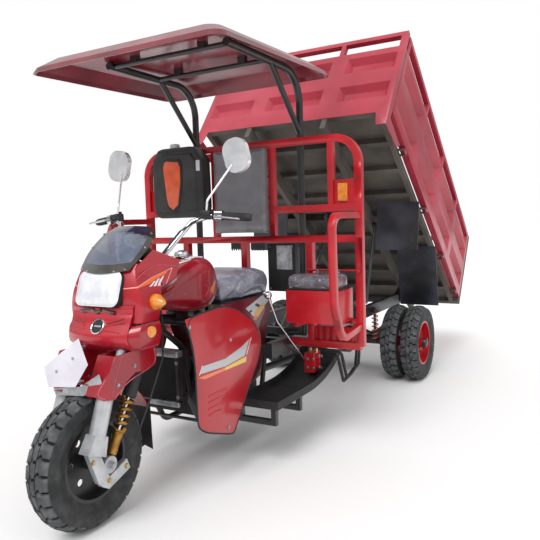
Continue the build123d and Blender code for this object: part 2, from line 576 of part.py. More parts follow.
BOARD_T = 4.0
BOARD_LIP = 40.0
BOARD_RISE_Y = FA + 1120.0     # where the rear end starts to curve up
BOARD_RISE_R = 820.0
BOARD_RISE = 33.0              # degrees
with BuildPart() as footboards:
    for s in (-1, 1):
        # floor of the board with its upturned rear end
        centre = (BOARD_RISE_Y, BOARD_Z + BOARD_RISE_R)
        end = radians(BOARD_RISE)
        with BuildSketch(side(s * (BOARD_IN + BOARD_OUT) / 2 - (BOARD_OUT - BOARD_IN) / 2)):
            with BuildLine():
                low = Line((BOARD_FRONT, BOARD_Z), (BOARD_RISE_Y, BOARD_Z))
                bend = RadiusArc((BOARD_RISE_Y, BOARD_Z),
                                 (centre[0] + BOARD_RISE_R * sin(end), centre[1] - BOARD_RISE_R * cos(end)),
                                 -BOARD_RISE_R)
                inner = BOARD_RISE_R - BOARD_T
                over = RadiusArc((BOARD_RISE_Y, BOARD_Z + BOARD_T),
                                 (centre[0] + inner * sin(end), centre[1] - inner * cos(end)), -inner)
                Line((BOARD_RISE_Y, BOARD_Z + BOARD_T), (BOARD_FRONT, BOARD_Z + BOARD_T))
                Line((BOARD_FRONT, BOARD_Z + BOARD_T), (BOARD_FRONT, BOARD_Z))
                Line(bend @ 1, over @ 1)
            make_face()
        extrude(amount=BOARD_OUT - BOARD_IN)
        # lips along both long edges
        for x in (BOARD_IN, BOARD_OUT - BOARD_T):
            with BuildSketch(side(x if s > 0 else -x - BOARD_T)):
                with BuildLine():
                    Line((BOARD_FRONT, BOARD_Z), (BOARD_RISE_Y, BOARD_Z))
                    low_edge = RadiusArc((BOARD_RISE_Y, BOARD_Z),
                                         (centre[0] + BOARD_RISE_R * sin(end),
                                          centre[1] - BOARD_RISE_R * cos(end)), -BOARD_RISE_R)
                    top_r = BOARD_RISE_R - BOARD_LIP
                    top_edge = RadiusArc((BOARD_RISE_Y, BOARD_Z + BOARD_LIP),
                                         (centre[0] + top_r * sin(end), centre[1] - top_r * cos(end)), -top_r)
                    Line((BOARD_RISE_Y, BOARD_Z + BOARD_LIP), (BOARD_FRONT, BOARD_Z + BOARD_LIP))
                    Line((BOARD_FRONT, BOARD_Z + BOARD_LIP), (BOARD_FRONT, BOARD_Z))
                    Line(low_edge @ 1, top_edge @ 1)
                make_face()
            extrude(amount=BOARD_T)
        with Locations((s * (BOARD_IN + BOARD_OUT) / 2, BOARD_FRONT + BOARD_T / 2, BOARD_Z + BOARD_LIP / 2)):
            Box(BOARD_OUT - BOARD_IN, BOARD_T, BOARD_LIP)
footboards.part.label = "footboards"
export_step(footboards.part, "parts/footboards.step")

ENGINE_BOT = CRADLE_Z + 10 + SEAT
ENGINE_REAR = FA + 1190.0
FIN_TILT = 55.0
with BuildPart() as engine:
    # crankcase and gearbox, then the cylinder that leans forward with its fins and head
    with Locations((0, FA + 820, ENGINE_BOT + 95)):
        Box(176, 260, 190)
    with Locations((0, (FA + 940 + ENGINE_REAR) / 2, ENGINE_BOT + 80)):
        Box(150, ENGINE_REAR - FA - 940, 160)
    for s in (-1, 1):
        with Locations((s * 92, FA + 820, ENGINE_BOT + 92)):
            Cylinder(78, 30, rotation=(0, 90, 0))
    with Locations((0, FA + 690, 450)):
        Cylinder(56, 190, rotation=(FIN_TILT, 0, 0))
    for i in range(7):
        step = (i - 2) * 17
        with Locations((0, FA + 690 - step * sin(radians(FIN_TILT)), 450 + step * cos(radians(FIN_TILT)))):
            Box(160, 148, 6, rotation=(FIN_TILT, 0, 0))
engine.part.label = "engine"
export_step(engine.part, "parts/engine.step")

with BuildPart() as drive_shaft:
    shaft_from = Vector(0, ENGINE_REAR + 1 + SEAT, 330)
    shaft_to = Vector(0, REAR_Y - 210 - 2, TYRE_R)
    with BuildSketch(Plane(shaft_from, z_dir=shaft_to - shaft_from)):
        Circle(22)
    extrude(amount=(shaft_to - shaft_from).length)
drive_shaft.part.label = "drive_shaft"
export_step(drive_shaft.part, "parts/drive_shaft.step")

with BuildPart() as radiator:
    with Locations((0, RAD_Y, 510)):
        Box(2 * RADIATOR_HALF_W - 10, RAD_T - 8, 180)
    with Locations((0, RAD_Y, 614)):
        Box(2 * RADIATOR_HALF_W, RAD_T, 36)
    with Locations((0, RAD_Y, 405)):
        Box(2 * RADIATOR_HALF_W, RAD_T, 40)
    # lower guard with its two lugs
    with Locations((0, RAD_Y - 30, 384)):
        Box(2 * RADIATOR_HALF_W + 30, 20, 40)
radiator.part.label = "radiator"
export_step(radiator.part, "parts/radiator.step")

# ================================================================ canopy
ROOF_MID_Y = (ROOF_FRONT + ROOF_REAR) / 2
ROOF_SLOPE = (ROOF_REAR_Z - ROOF_FRONT_Z) / (ROOF_REAR - ROOF_FRONT)
CROWN_IN = 230.0          # flat crown, in from the rim
CROSS_R = 12.0


def crown_under(y):
    """Height of the crown's underside at y."""
    return (ROOF_FRONT_Z + ROOF_REAR_Z) / 2 + ROOF_SLOPE * (y - ROOF_MID_Y) + ROOF_RISE - ROOF_T


with BuildPart() as canopy_frame:
    for s in (-1, 1):
        with BuildLine():
            arm = FilletPolyline((s * POST_X, POST_Y, RAIL_TOP + SEAT + 8), (s * POST_X, POST_Y, ARM_Z),
                                 (s * POST_X, ROOF_FRONT + 330, ARM_Z), radius=165)
        with BuildSketch(Plane(arm @ 0, z_dir=arm % 0)):
            Circle(POST_R)
        sweep(path=arm)
        with BuildLine():
            strut = Line((s * POST_X, POST_Y, ARM_Z - 320), (s * POST_X, POST_Y - 310, ARM_Z))
        with BuildSketch(Plane(strut @ 0, z_dir=strut % 0)):
            Circle(15)
        sweep(path=strut)
        # foot on the chassis rail
        with Locations((s * (RAIL_X - RAIL_W / 2 + POST_X + POST_R) / 2, POST_Y, RAIL_TOP + SEAT + 5)):
            Box(POST_X + POST_R - RAIL_X + RAIL_W / 2, 2 * POST_R, 10)
    # cross tubes under the roof, with pads up to its crown
    for y in (ROOF_FRONT + 360, POST_Y - 330):
        with Locations((0, y, ARM_Z)):
            Cylinder(CROSS_R, 2 * POST_X, rotation=(0, 90, 0))
        for x in (-200, 200):
            with Locations((x, y, (ARM_Z + crown_under(y - 15) - SEAT) / 2)):
                Box(40, 30, crown_under(y - 15) - SEAT - ARM_Z)
canopy_frame.part.label = "canopy_frame"
export_step(canopy_frame.part, "parts/canopy_frame.step")

with BuildPart() as canopy_roof:
    # rim, shoulders and crown of the shell, then the hollow under it
    for depth, mode in ((0, Mode.ADD), (ROOF_T, Mode.SUBTRACT)):
        sections = []
        for grow, rise in ((0, 0), (-12, 24), (-75, ROOF_RISE - 32), (-CROWN_IN, ROOF_RISE)):
            half = ROOF_HALF_W + grow - depth
            run = (ROOF_REAR - ROOF_FRONT) / 2 + grow - depth
            mid_z = (ROOF_FRONT_Z + ROOF_REAR_Z) / 2 + rise - (depth if rise else 0)
            sections.append((half, run, mid_z))
        faces = []
        for half, run, mid_z in sections:
            with BuildSketch(Plane(origin=(0, ROOF_MID_Y, mid_z), x_dir=(1, 0, 0),
                                   z_dir=Vector(0, -ROOF_SLOPE, 1).normalized())) as ring:
                RectangleRounded(2 * half, 2 * run, 60)
            faces.append(ring.sketch.faces()[0])
        loft(faces, ruled=True, mode=mode)
canopy_roof.part.label = "canopy_roof"
export_step(canopy_roof.part, "parts/canopy_roof.step")

with BuildPart() as water_tank:
    with Locations((-386, FRAME_FRONT - SEAT - 50, 1440)):
        Box(366, 100, 406)
    fillet(water_tank.edges().filter_by(Axis.Y), 45)
    fillet(water_tank.faces().sort_by(Axis.Y)[0].edges(), 14)
    with Locations((-386, FRAME_FRONT - SEAT - 50, 1643 + 9)):
        Cylinder(24, 20)
water_tank.part.label = "water_tank"
export_step(water_tank.part, "parts/water_tank.step")

with BuildPart() as backrest:
    with Locations((8, FRAME_FRONT - SEAT - 24, 1370)):
        Box(356, 48, 480)
    fillet(backrest.edges().filter_by(Axis.Y), 20)
backrest.part.label = "backrest"
export_step(backrest.part, "parts/backrest.step")

with BuildPart() as frame_lamps:
    for s in (-1, 1):
        with Locations((s * 605, FRAME_Y - 1.5 - SEAT - 5, 1342)):
            Box(52, 10, 90)
frame_lamps.part.label = "frame_lamps"
export_step(frame_lamps.part, "parts/frame_lamps.step")

# ================================================================ tipping controls
VALVE_X = 352.0
VALVE_Y = FA + 1350.0
VALVE_L = 90.0
VALVE_H = 110.0
BOARD_RUN = VALVE_Y + VALVE_L / 2 - BOARD_RISE_Y      # how far up the curve the valve's rear end stands
VALVE_Z = (BOARD_Z + BOARD_RISE_R - ((BOARD_RISE_R - BOARD_T) ** 2 - BOARD_RUN ** 2) ** 0.5
           + SEAT + VALVE_H / 2)
with BuildPart() as hydraulic_valve:
    with Locations((VALVE_X, VALVE_Y, VALVE_Z)):
        Box(56, VALVE_L, VALVE_H)
    for z in (-24, 0, 24):
        with Locations((VALVE_X + 28 + 8, VALVE_Y, VALVE_Z + z)):
            Cylinder(11, 16, rotation=(0, 90, 0))
hydraulic_valve.part.label = "hydraulic_valve"
export_step(hydraulic_valve.part, "parts/hydraulic_valve.step")

HOSE_R = 9.0
HOSE_PITCH = 22.0
with BuildPart() as hydraulic_hoses:
    # two hoses that leave the valve over the footboard's lip, run back low and end on the rail
    for i in (0, 1):
        d = i * HOSE_PITCH
        end_y = FA + 2060 + 2 * d
        rail_side = RAIL_X + RAIL_W / 2 + SEAT
        with BuildLine():
            route = FilletPolyline((VALVE_X + d / 2 - 8, VALVE_Y + VALVE_L / 2 + SEAT, VALVE_Z + 16 + d),
                                   (VALVE_X + d / 2 - 8, VALVE_Y + VALVE_L / 2 + 34, VALVE_Z + 16 + d),
                                   (462 + d, FA + 1452, VALVE_Z + 20 + d), (466 + d, FA + 1520, 262 + d),
                                   (420 + d, FA + 1700, 238 + d), (390 + d, FA + 1900, 255 + d),
                                   (345 + d, FA + 2040, 330 + d), (340 + d, end_y, RAIL_TOP - RAIL_H / 2),
                                   (rail_side, end_y, RAIL_TOP - RAIL_H / 2), radius=24)
        with BuildSketch(Plane(route @ 0, z_dir=route % 0)):
            Circle(HOSE_R)
        sweep(path=route)
hydraulic_hoses.part.label = "hydraulic_hoses"
export_step(hydraulic_hoses.part, "parts/hydraulic_hoses.step")

KNEE_Y = FA + 1015.0
KNEE_Z = 684.0
KNOB_Y = FA + 929.0
KNOB_Z = 833.0
LEVER_X = VALVE_X - 28 - SEAT - 6
with BuildPart() as tipping_lever:
    with BuildLine():
        rod = FilletPolyline((LEVER_X, VALVE_Y, VALVE_Z - 20), (LEVER_X, KNEE_Y, KNEE_Z),
                             (LEVER_X, KNOB_Y, KNOB_Z), radius=60)
    with BuildSketch(Plane(rod @ 0, z_dir=rod % 0)):
        Circle(6)
    sweep(path=rod)
    with Locations((LEVER_X, KNOB_Y, KNOB_Z)):
        Sphere(20)
tipping_lever.part.label = "tipping_lever"
export_step(tipping_lever.part, "parts/tipping_lever.step")

# ================================================================ steering
AXLE = STEER.to_local_coords(Vector(0, FA, TYRE_R))
LUG_DOWN = 75.0           # underside of the shock's upper lug under the head tube
SHOCK_BACK = 84.0         # shock's upper eye behind the steering axis
with BuildPart(STEER) as front_fork:
    # stem, crowns above and below the head tube
    with Locations((0, 0, HEAD_L / 2)):
        Cylinder(STEM_R, HEAD_L + 2 * (TOUCH + CROWN_T))
    for z in (-TOUCH - CROWN_T, HEAD_L + TOUCH):
        with BuildSketch(STEER.offset(z)):
            with Locations(*[(s * FORK_X, -FORK_TOP_LEAD) for s in (-1, 1)]):
                Circle(FORK_TOP_R + 7)
            Circle(38)
            make_hull()
        extrude(amount=CROWN_T)
    # legs, their flared feet and the lugs that hold the shocks
    for s in (-1, 1):
        top = HEAD_L + TOUCH + CROWN_T + 8
        with Locations((s * FORK_X, -FORK_TOP_LEAD, (top + FORK_LEG_TOP - 60) / 2)):
            Cylinder(FORK_TOP_R, top - FORK_LEG_TOP + 60)
        with Locations((s * FORK_X, -FORK_LEAD, (FORK_LEG_TOP - FORK_DOWN + 60) / 2)):
            Cylinder(FORK_R, FORK_LEG_TOP + FORK_DOWN - 60)
        with BuildSketch(steer_side(s * FORK_X - 27)):
            Polygon((-FORK_LEAD - 33, -FORK_DOWN + 75), (-FORK_LEAD + 33, -FORK_DOWN + 75),
                    (-FORK_LEAD + 44, -FORK_DOWN), (-FORK_LEAD - 50, -FORK_DOWN), align=None)
        extrude(amount=54)
        with Locations((s * FORK_X, (SHOCK_BACK + 18 - FORK_TOP_LEAD) / 2, -LUG_DOWN + 16)):
            Box(30, SHOCK_BACK + 18 + FORK_TOP_LEAD, 32)
front_fork.part.label = "front_fork"
export_step(front_fork.part, "parts/front_fork.step")

LINK_T = 26.0
with BuildPart() as front_links:
    # bent links from the fork's feet under the axle and up to the shocks
    for s in (-1, 1):
        with BuildSketch(steer_side(s * FORK_X - LINK_T / 2)):
            Polygon((-118, -FORK_DOWN - SEAT), (-48, -FORK_DOWN - SEAT), (28, -632), (20, -668), (-26, -656),
                    align=None)
            Polygon((-10, -664), (34, -672), (132, -590), (100, -556), (30, -618), align=None)
            with Locations((AXLE.Y, AXLE.Z)):
                Circle(34)
        extrude(amount=LINK_T)
        with Locations((s * (FORK_X + LINK_T / 2 + 5), FA, TYRE_R)):
            Cylinder(15, 10, rotation=(0, 90, 0))
    with Locations((0, FA, TYRE_R)):
        Cylinder(AXLE_STUB_R, 2 * FORK_X, rotation=(0, 90, 0))
front_links.part.label = "front_links"
export_step(front_links.part, "parts/front_links.step")

COIL_R = 25.0
SHOCK_FOOT = Vector(0, AXLE.Y + 4, AXLE.Z + 34 + SEAT)     # on the axle boss, in steering axes
SHOCK_HEAD = Vector(0, SHOCK_BACK, -LUG_DOWN - SEAT)
with BuildPart() as front_shocks:
    run = (SHOCK_HEAD - SHOCK_FOOT).length
    for s in (-1, 1):
        foot = at_steer(s * FORK_X, SHOCK_FOOT.Y, SHOCK_FOOT.Z)
        head = at_steer(s * FORK_X, SHOCK_HEAD.Y, SHOCK_HEAD.Z - 2)
        axis = Plane(foot, x_dir=(1, 0, 0), z_dir=head - foot)
        span = (head - foot).length
        # lower body, rod, spring and the cover over its upper half
        for r, z0, z1 in ((18, 0, 92), (9, 90, 215), (COIL_R + 2, 88, 96), (26, span * 0.56, span - 24),
                          (12, span - 26, span)):
            with BuildSketch(axis.offset(z0)):
                Circle(r)
            extrude(amount=z1 - z0)
        for i in range(4):
            with BuildSketch(axis.offset(103 + i * 27)):
                Circle(COIL_R)
                Circle(8, mode=Mode.SUBTRACT)
            extrude(amount=10)
front_shocks.part.label = "front_shocks"
export_step(front_shocks.part, "parts/front_shocks.step")

# ---------------------------------------------------------------- handlebar
BAR_R = 11.0
GRIP_X = 454.0
GRIP_Y = FA + 545.0
GRIP_Z = 1221.0
CROWN_TOP = HEAD_L + TOUCH + CROWN_T      # above the head tube's lower end
CLAMP_X = 58.0
BAR_LOW = at_steer(0, 68, CROWN_TOP + 58)
with BuildPart() as handlebar:
    with BuildLine():
        bar = FilletPolyline((-GRIP_X, GRIP_Y + 20, GRIP_Z), (-290, GRIP_Y - 30, GRIP_Z + 15),
                             (-205, GRIP_Y - 75, GRIP_Z - 12), (-96, BAR_LOW.Y, BAR_LOW.Z),
                             (96, BAR_LOW.Y, BAR_LOW.Z), (205, GRIP_Y - 75, GRIP_Z - 12),
                             (290, GRIP_Y - 30, GRIP_Z + 15), (GRIP_X, GRIP_Y + 20, GRIP_Z), radius=34)
    with BuildSketch(Plane(bar @ 0, z_dir=bar % 0)):
        Circle(BAR_R)
    sweep(path=bar)
    for s in (-1, 1):
        with BuildSketch(steer_side(s * CLAMP_X - 13)):
            Polygon((-62, CROWN_TOP + SEAT), (6, CROWN_TOP + SEAT), (84, CROWN_TOP + 48),
                    (84, CROWN_TOP + 72), (54, CROWN_TOP + 74), (-40, CROWN_TOP + 26), align=None)
        extrude(amount=26)
        # brake levers ahead of the grips
        with BuildLine():
            lever = Polyline((s * 300, GRIP_Y - 35, GRIP_Z + 13), (s * 320, GRIP_Y - 65, GRIP_Z + 10),
                             (s * 440, GRIP_Y - 50, GRIP_Z - 5))
        with BuildSketch(Plane(lever @ 0, z_dir=lever % 0)):
            Circle(5)
        sweep(path=lever, transition=Transition.ROUND)
        # switch housing beside the grip
        with BuildSketch(Plane(Vector(s * 300, GRIP_Y - 27, GRIP_Z + 14), z_dir=Vector(s * 164, 50, -15))):
            RectangleRounded(40, 44, 12)
        extrude(amount=34)
handlebar.part.label = "handlebar"
export_step(handlebar.part, "parts/handlebar.step")

GRIP_L = 114.0
with BuildPart() as grips:
    for s in (-1, 1):
        start = Vector(s * GRIP_X, GRIP_Y + 20, GRIP_Z)
        step = (Vector(s * 290, GRIP_Y - 30, GRIP_Z + 15) - start).normalized()
        with BuildSketch(Plane(start - step * 6, z_dir=step)):
            Circle(16)
        extrude(amount=GRIP_L + 6)
        with BuildSketch(Plane(start, z_dir=step)):
            Circle(BAR_R + 0.02)
        extrude(amount=GRIP_L + 2, mode=Mode.SUBTRACT)
grips.part.label = "grips"
export_step(grips.part, "parts/grips.step")

MIRROR_X = 350.0
MIRROR_Y = FA + 630.0
MIRROR_Z = 1500.0
STEM_X = 262.0
with BuildPart() as mirrors:
    for s in (-1, 1):
        with BuildLine():
            stem = FilletPolyline((s * STEM_X, GRIP_Y - 40, GRIP_Z + 8 + BAR_R + SEAT),
                                  (s * STEM_X, GRIP_Y - 30, GRIP_Z + 80),
                                  (s * (MIRROR_X - 20), MIRROR_Y - 10, MIRROR_Z - 40),
                                  (s * MIRROR_X, MIRROR_Y, MIRROR_Z), radius=30)
        with BuildSketch(Plane(stem @ 0, z_dir=stem % 0)):
            Circle(5)
        sweep(path=stem)
        with BuildSketch(Plane(origin=(s * MIRROR_X, MIRROR_Y + 14, MIRROR_Z), x_dir=(1, 0, s * 0.25),
                               z_dir=(0, -1, 0))):
            RectangleRounded(124, 154, 54)
        extrude(amount=28)
mirrors.part.label = "mirrors"
export_step(mirrors.part, "parts/mirrors.step")

# ---------------------------------------------------------------- nose
NOSE_T = 3.0
LAMP = Plane(origin=(0, FA + 107, 948), x_dir=(1, 0, 0), z_dir=(0, -0.952, 0.306))
LAMP_W = 236.0
LAMP_H = 146.0
LAMP_D = 52.0


def nose_ring(z, half, front, corner, rear, depth=0.0):
    """Closed level outline of the nose: flat sides joined by a bowed front."""
    with BuildSketch(Plane.XY.offset(z)) as ring:
        with BuildLine():
            w, f, c, r = half - depth, FA + front + depth, FA + corner + depth, FA + rear
            Spline((-w, c), (-w * 0.62, f + (c - f) * 0.34), (0, f), (w * 0.62, f + (c - f) * 0.34), (w, c))
            Polyline((w, c), (w, r), (-w, r), (-w, c))
        make_face()
    return ring.sketch.faces()[0]


COWL_RINGS = ((697, 150, 128, 182, 235), (726, 196, 52, 118, 240), (770, 200, 50, 115, 243),
              (808, 192, 100, 138, 243))
with BuildPart() as lower_cowl:
    loft([nose_ring(*row) for row in COWL_RINGS])
    loft([nose_ring(z, *row[:3], row[3] + 20, depth=NOSE_T)
          for z, row in zip((690, 726, 770, 812), [r[1:] for r in COWL_RINGS])], mode=Mode.SUBTRACT)
    # room for the fork's tubes, then brackets to them, trimmed to the outer shape
    for s in (-1, 1):
        with BuildSketch(STEER.offset(-200)):
            with Locations((s * FORK_X, -FORK_TOP_LEAD)):
                Circle(FORK_TOP_R + 4)
        extrude(amount=240, mode=Mode.SUBTRACT)
        with BuildSketch(steer_side(s * FORK_X - 12)):
            Polygon((-FORK_LEAD - 60, -75), (-FORK_TOP_LEAD - FORK_TOP_R - SEAT, -75),
                    (-FORK_TOP_LEAD - FORK_TOP_R - SEAT, -45), (-FORK_LEAD - 60, -45), align=None)
        extrude(amount=24)
    loft([nose_ring(*row) for row in COWL_RINGS], mode=Mode.INTERSECT)
lower_cowl.part.label = "lower_cowl"
export_step(lower_cowl.part, "parts/lower_cowl.step")

FAIRING_RINGS = ((812, 190, 100, 136, 240), (868, 198, 106, 138, 252), (930, 186, 104, 140, 270),
                 (1000, 158, 122, 150, 300), (1046, 150, 146, 172, 330))
WING_X = 154.0
WING_SPLAY = 9.0
with BuildPart() as nose_fairing:
    loft([nose_ring(*row) for row in FAIRING_RINGS])
    # wings that flank the tank
    for s in (-1, 1):
        splay = radians(WING_SPLAY)
        with BuildSketch(Plane(origin=(s * WING_X, FA + 200, 0), x_dir=(s * sin(splay), cos(splay), 0),
                               z_dir=(cos(splay), -s * sin(splay), 0))):
            Polygon((-60, 960), (-40, 1030), (58, 1100), (200, 1048), (178, 980), (40, 915), align=None)
        extrude(amount=4)
    loft([nose_ring(z, *row[:3], row[3] + 20, depth=NOSE_T)
          for z, row in zip((806, 868, 930, 1000, 1043), [r[1:] for r in FAIRING_RINGS])], mode=Mode.SUBTRACT)
    # seat of the headlight
    with BuildSketch(LAMP.offset(60)):
        RectangleRounded(LAMP_W + 2 * SEAT, LAMP_H + 2 * SEAT, 34)
    extrude(amount=-60 - LAMP_D - 60, mode=Mode.SUBTRACT)
    # brackets back to the fork's legs
    for s in (-1, 1):
        x0 = FORK_X + FORK_TOP_R + SEAT
        with BuildSketch(steer_side(x0 if s > 0 else -193)):
            with Locations((-FORK_TOP_LEAD, 52)):
                Rectangle(34, 24)
        extrude(amount=193 - x0)
nose_fairing.part.label = "nose_fairing"
export_step(nose_fairing.part, "parts/nose_fairing.step")

with BuildPart() as headlight:
    with BuildSketch(LAMP.offset(8)):
        RectangleRounded(LAMP_W, LAMP_H, 34)
    extrude(amount=-LAMP_D)
    fillet(headlight.faces().sort_by(Axis.Y)[0].edges(), 6)
headlight.part.label = "headlight"
export_step(headlight.part, "parts/headlight.step")

SCREEN_T = 3.0
SCREEN_ARCS = ((130, 1018, 124, 24, 0.35), (205, 1095, 150, 52, 0.15), (272, 1165, 142, 50, -0.1),
               (302, 1196, 96, 26, -0.2))
with BuildPart() as windscreen:
    arcs = []
    for y, z, half, bow, drop in SCREEN_ARCS:
        with BuildSketch(Plane(origin=(0, FA + y, z), x_dir=(1, 0, 0), z_dir=(0, -drop, 1))) as ring:
            with BuildLine():
                ThreePointArc((-half, bow * 0.6), (0, -bow * 0.4), (half, bow * 0.6))
                Line((half, bow * 0.6), (half - 3, bow * 0.6 + SCREEN_T))
                ThreePointArc((half - 3, bow * 0.6 + SCREEN_T), (0, SCREEN_T - bow * 0.4),
                              (3 - half, bow * 0.6 + SCREEN_T))
                Line((3 - half, bow * 0.6 + SCREEN_T), (-half, bow * 0.6))
            make_face()
        arcs.append(ring.sketch.faces()[0])
    loft(arcs)
    loft([nose_ring(*row) for row in FAIRING_RINGS], mode=Mode.SUBTRACT)
    add(headlight.part, mode=Mode.SUBTRACT)
windscreen.part.label = "windscreen"
export_step(windscreen.part, "parts/windscreen.step")

SIGNAL_X = FAIRING_RINGS[1][1] + SEAT
SIGNAL_Y = FA + 228.0
SIGNAL_Z = 887.0
with BuildPart() as turn_signals:
    for s in (-1, 1):
        for out, long_r, high_r in ((0, 42, 26), (20, 36, 21), (34, 20, 9)):
            with BuildSketch(side(s * (SIGNAL_X + out))):
                with Locations((SIGNAL_Y, SIGNAL_Z)):
                    Ellipse(long_r, high_r)
        loft()
turn_signals.part.label = "turn_signals"
export_step(turn_signals.part, "parts/turn_signals.step")

# ---------------------------------------------------------------- mudguard
GUARD_R = TYRE_R + 50.0
GUARD_IN = 66.0
GUARD_OUT = 152.0
GUARD_T = 3.0
GUARD_SIDE = ((FA + 18, 700), (FA - 58, 557), (FA - 30, 536), (FA + 14, 533), (FA + 75, 585),
              (FA + 131, 612), (FA + 200, 606), (FA + 254, 620), (FA + 264, 660), (FA + 250, 700))
with BuildPart() as guard_skin:
    for s in (-1, 1):
        with BuildSketch(side(s * (GUARD_IN + GUARD_OUT) / 2 - (GUARD_OUT - GUARD_IN) / 2)):
            Polygon(*GUARD_SIDE, align=None)
        extrude(amount=GUARD_OUT - GUARD_IN)
        # ridge: the outer face falls back from it
        with BuildSketch(Plane.XY.offset(400)):
            Polygon((s * 104, FA - 70), (s * 190, FA - 70), (s * 190, FA - 12), (s * GUARD_OUT, FA - 12),
                    (s * 104, FA - 62), align=None)
        extrude(amount=400, mode=Mode.SUBTRACT)
with BuildPart() as guard_core:
    for s in (-1, 1):
        x0 = s * (GUARD_IN + GUARD_OUT) / 2 - (GUARD_OUT - GUARD_IN) / 2 + GUARD_T
        with BuildSketch(side(x0)):
            Polygon((FA + 25, 704), (FA - 52, 558), (FA - 60, 500), (FA + 290, 500), (FA + 290, 704),
                    align=None)
        extrude(amount=GUARD_OUT - GUARD_IN - 2 * GUARD_T)
        with BuildSketch(Plane.XY.offset(400)):
            Polygon((s * 102, FA - 70), (s * 190, FA - 70), (s * 190, FA - 10),
                    (s * (GUARD_OUT - GUARD_T), FA - 10), (s * 102, FA - 57), align=None)
        extrude(amount=400, mode=Mode.SUBTRACT)
with BuildPart() as front_mudguard:
    add(guard_skin.part)
    add(guard_core.part, mode=Mode.SUBTRACT)
    # arch over the tyre, between the two leg covers
    with BuildSketch(side(-GUARD_IN - 1)):
        with Locations((FA, TYRE_R)):
            Circle(GUARD_R + GUARD_T)
            Circle(GUARD_R, mode=Mode.SUBTRACT)
        Polygon((FA, TYRE_R), (FA - 60, TYRE_R + 420), (FA + 420, TYRE_R + 420), (FA + 420, TYRE_R + 200),
                align=None, mode=Mode.INTERSECT)
    extrude(amount=2 * GUARD_IN + 2)
    # pads that bolt to the fork's legs
    for s in (-1, 1):
        x0 = FORK_X + FORK_R + SEAT
        with BuildSketch(steer_side(s * x0 if s > 0 else -GUARD_OUT + 2)):
            with Locations((-FORK_LEAD + 5, FORK_LEG_TOP - 40)):
                Rectangle(40, 50)
        extrude(amount=GUARD_OUT - 2 - x0)
front_mudguard.part.label = "front_mudguard"
export_step(front_mudguard.part, "parts/front_mudguard.step")

FLAP_TOP = 446.0
FLAP_BOT = 224.0
FLAP_Y = FA + 294.5       # on the arch's rear edge
with BuildPart() as mud_flap:
    # rubber flap that hangs behind the tyre, its lower edge notched
    with BuildSketch(across(FLAP_Y)):
        Polygon((-72, FLAP_TOP), (72, FLAP_TOP), (78, FLAP_BOT), (34, FLAP_BOT + 12), (12, FLAP_BOT - 4),
                (-20, FLAP_BOT + 14), (-78, FLAP_BOT), align=None)
    extrude(amount=-3)
mud_flap.part.label = "mud_flap"
export_step(mud_flap.part, "parts/mud_flap.step")

CABLE_R = 4.0
with BuildPart() as control_cables:
    # from the lever ahead of the left grip, through the fairing and down to the front brake,
    # and from the right one down to the upper crown
    left = ((298.5, 501.5, 1230.5), (262, 462, 1226), (196, 396, 1168), (124, 336, 1058), (120, 330, 950),
            (170, 288, 780), (170, 280, 640), (162, 196, 480), (143, 120, 330), (143, 60, 292))
    right = ((-298.5, 501.5, 1230.5), (-262, 462, 1226), (-196, 396, 1168), (-128, 342, 1062),
             (-112, 320, 1000), (-34, 306, 960), (-8, 306, 960))
    for points in (left, right):
        with BuildLine():
            route = FilletPolyline(*[(x, FA + y, z) for x, y, z in points], radius=24)
        with BuildSketch(Plane(route @ 0, z_dir=route % 0)):
            Circle(CABLE_R)
        sweep(path=route)
control_cables.part.label = "control_cables"
export_step(control_cables.part, "parts/control_cables.step")

PLATE_Y = FA - 66.0
PLATE_STRAP_W = 36.0
with BuildPart() as number_plate:
    # blank plate, turned in its plane, on a bent strap from the arch
    with BuildSketch(across(PLATE_Y)):
        Polygon((-146, 652), (56, 780), (98, 682), (24, 588), (-128, 571), align=None)
    extrude(amount=1.5)
    arch_top = TYRE_R + ((GUARD_R + GUARD_T) ** 2 - 20 ** 2) ** 0.5 + SEAT
    with Locations((0, PLATE_Y + 1.5, (arch_top + 660) / 2)):
        Box(PLATE_STRAP_W, 3, 660 - arch_top)
    with Locations((0, (PLATE_Y + FA - 16) / 2, arch_top + 1.5)):
        Box(PLATE_STRAP_W, FA - 16 - PLATE_Y, 3)
number_plate.part.label = "number_plate"
export_step(number_plate.part, "parts/number_plate.step")

# ================================================================ tipping bed
FLOOR_T = 3.0
BEARER_H = 40.0           # cross bearers under the floor
BEAM_H = 78.0             # lengthwise beams under the bearers
BEAM_W = 34.0
WALL_D = 45.0             # pressed walls, outer face to inner sheet
SHEET_T = 3.0
WALL_TOP = BED_FLOOR_UP + BED_WALL_H
RAIL_TOP_B = BED_FLOOR_UP + BED_RAIL_H
BED_FRONT = BED_OVERHANG - BED_L
POST_W = 40.0             # rear corner posts
EDGE = BED_HALF_W - WALL_D - TOUCH
APRON_T = 4.0             # sheet in front of the floor's frame
BEARERS = 10
BEARER_W = 36.0
HINGE_R = 8.0             # knuckles of the drop sides
HINGE_PIN_R = 5.0
HINGE_X = BED_HALF_W - HINGE_R - 2
HINGE_B = BED_FLOOR_UP - HINGE_R - SEAT
HINGE_AT = (-1560.0, -950.0, -350.0, 190.0)     # behind the tipping pin
KNUCKLE_L = 36.0
GATE_TOP = WALL_TOP - 10
GATE_PIN_Y = BED_OVERHANG - 14
GATE_PIN_B = GATE_TOP - 12
GATE_PIN_R = 6.0
GATE_BAY = 410.0
FRAME_FROM = BED_FRONT + APRON_T + SEAT
FRAME_MID = (FRAME_FROM + BED_OVERHANG) / 2
FRAME_RUN = BED_OVERHANG - FRAME_FROM
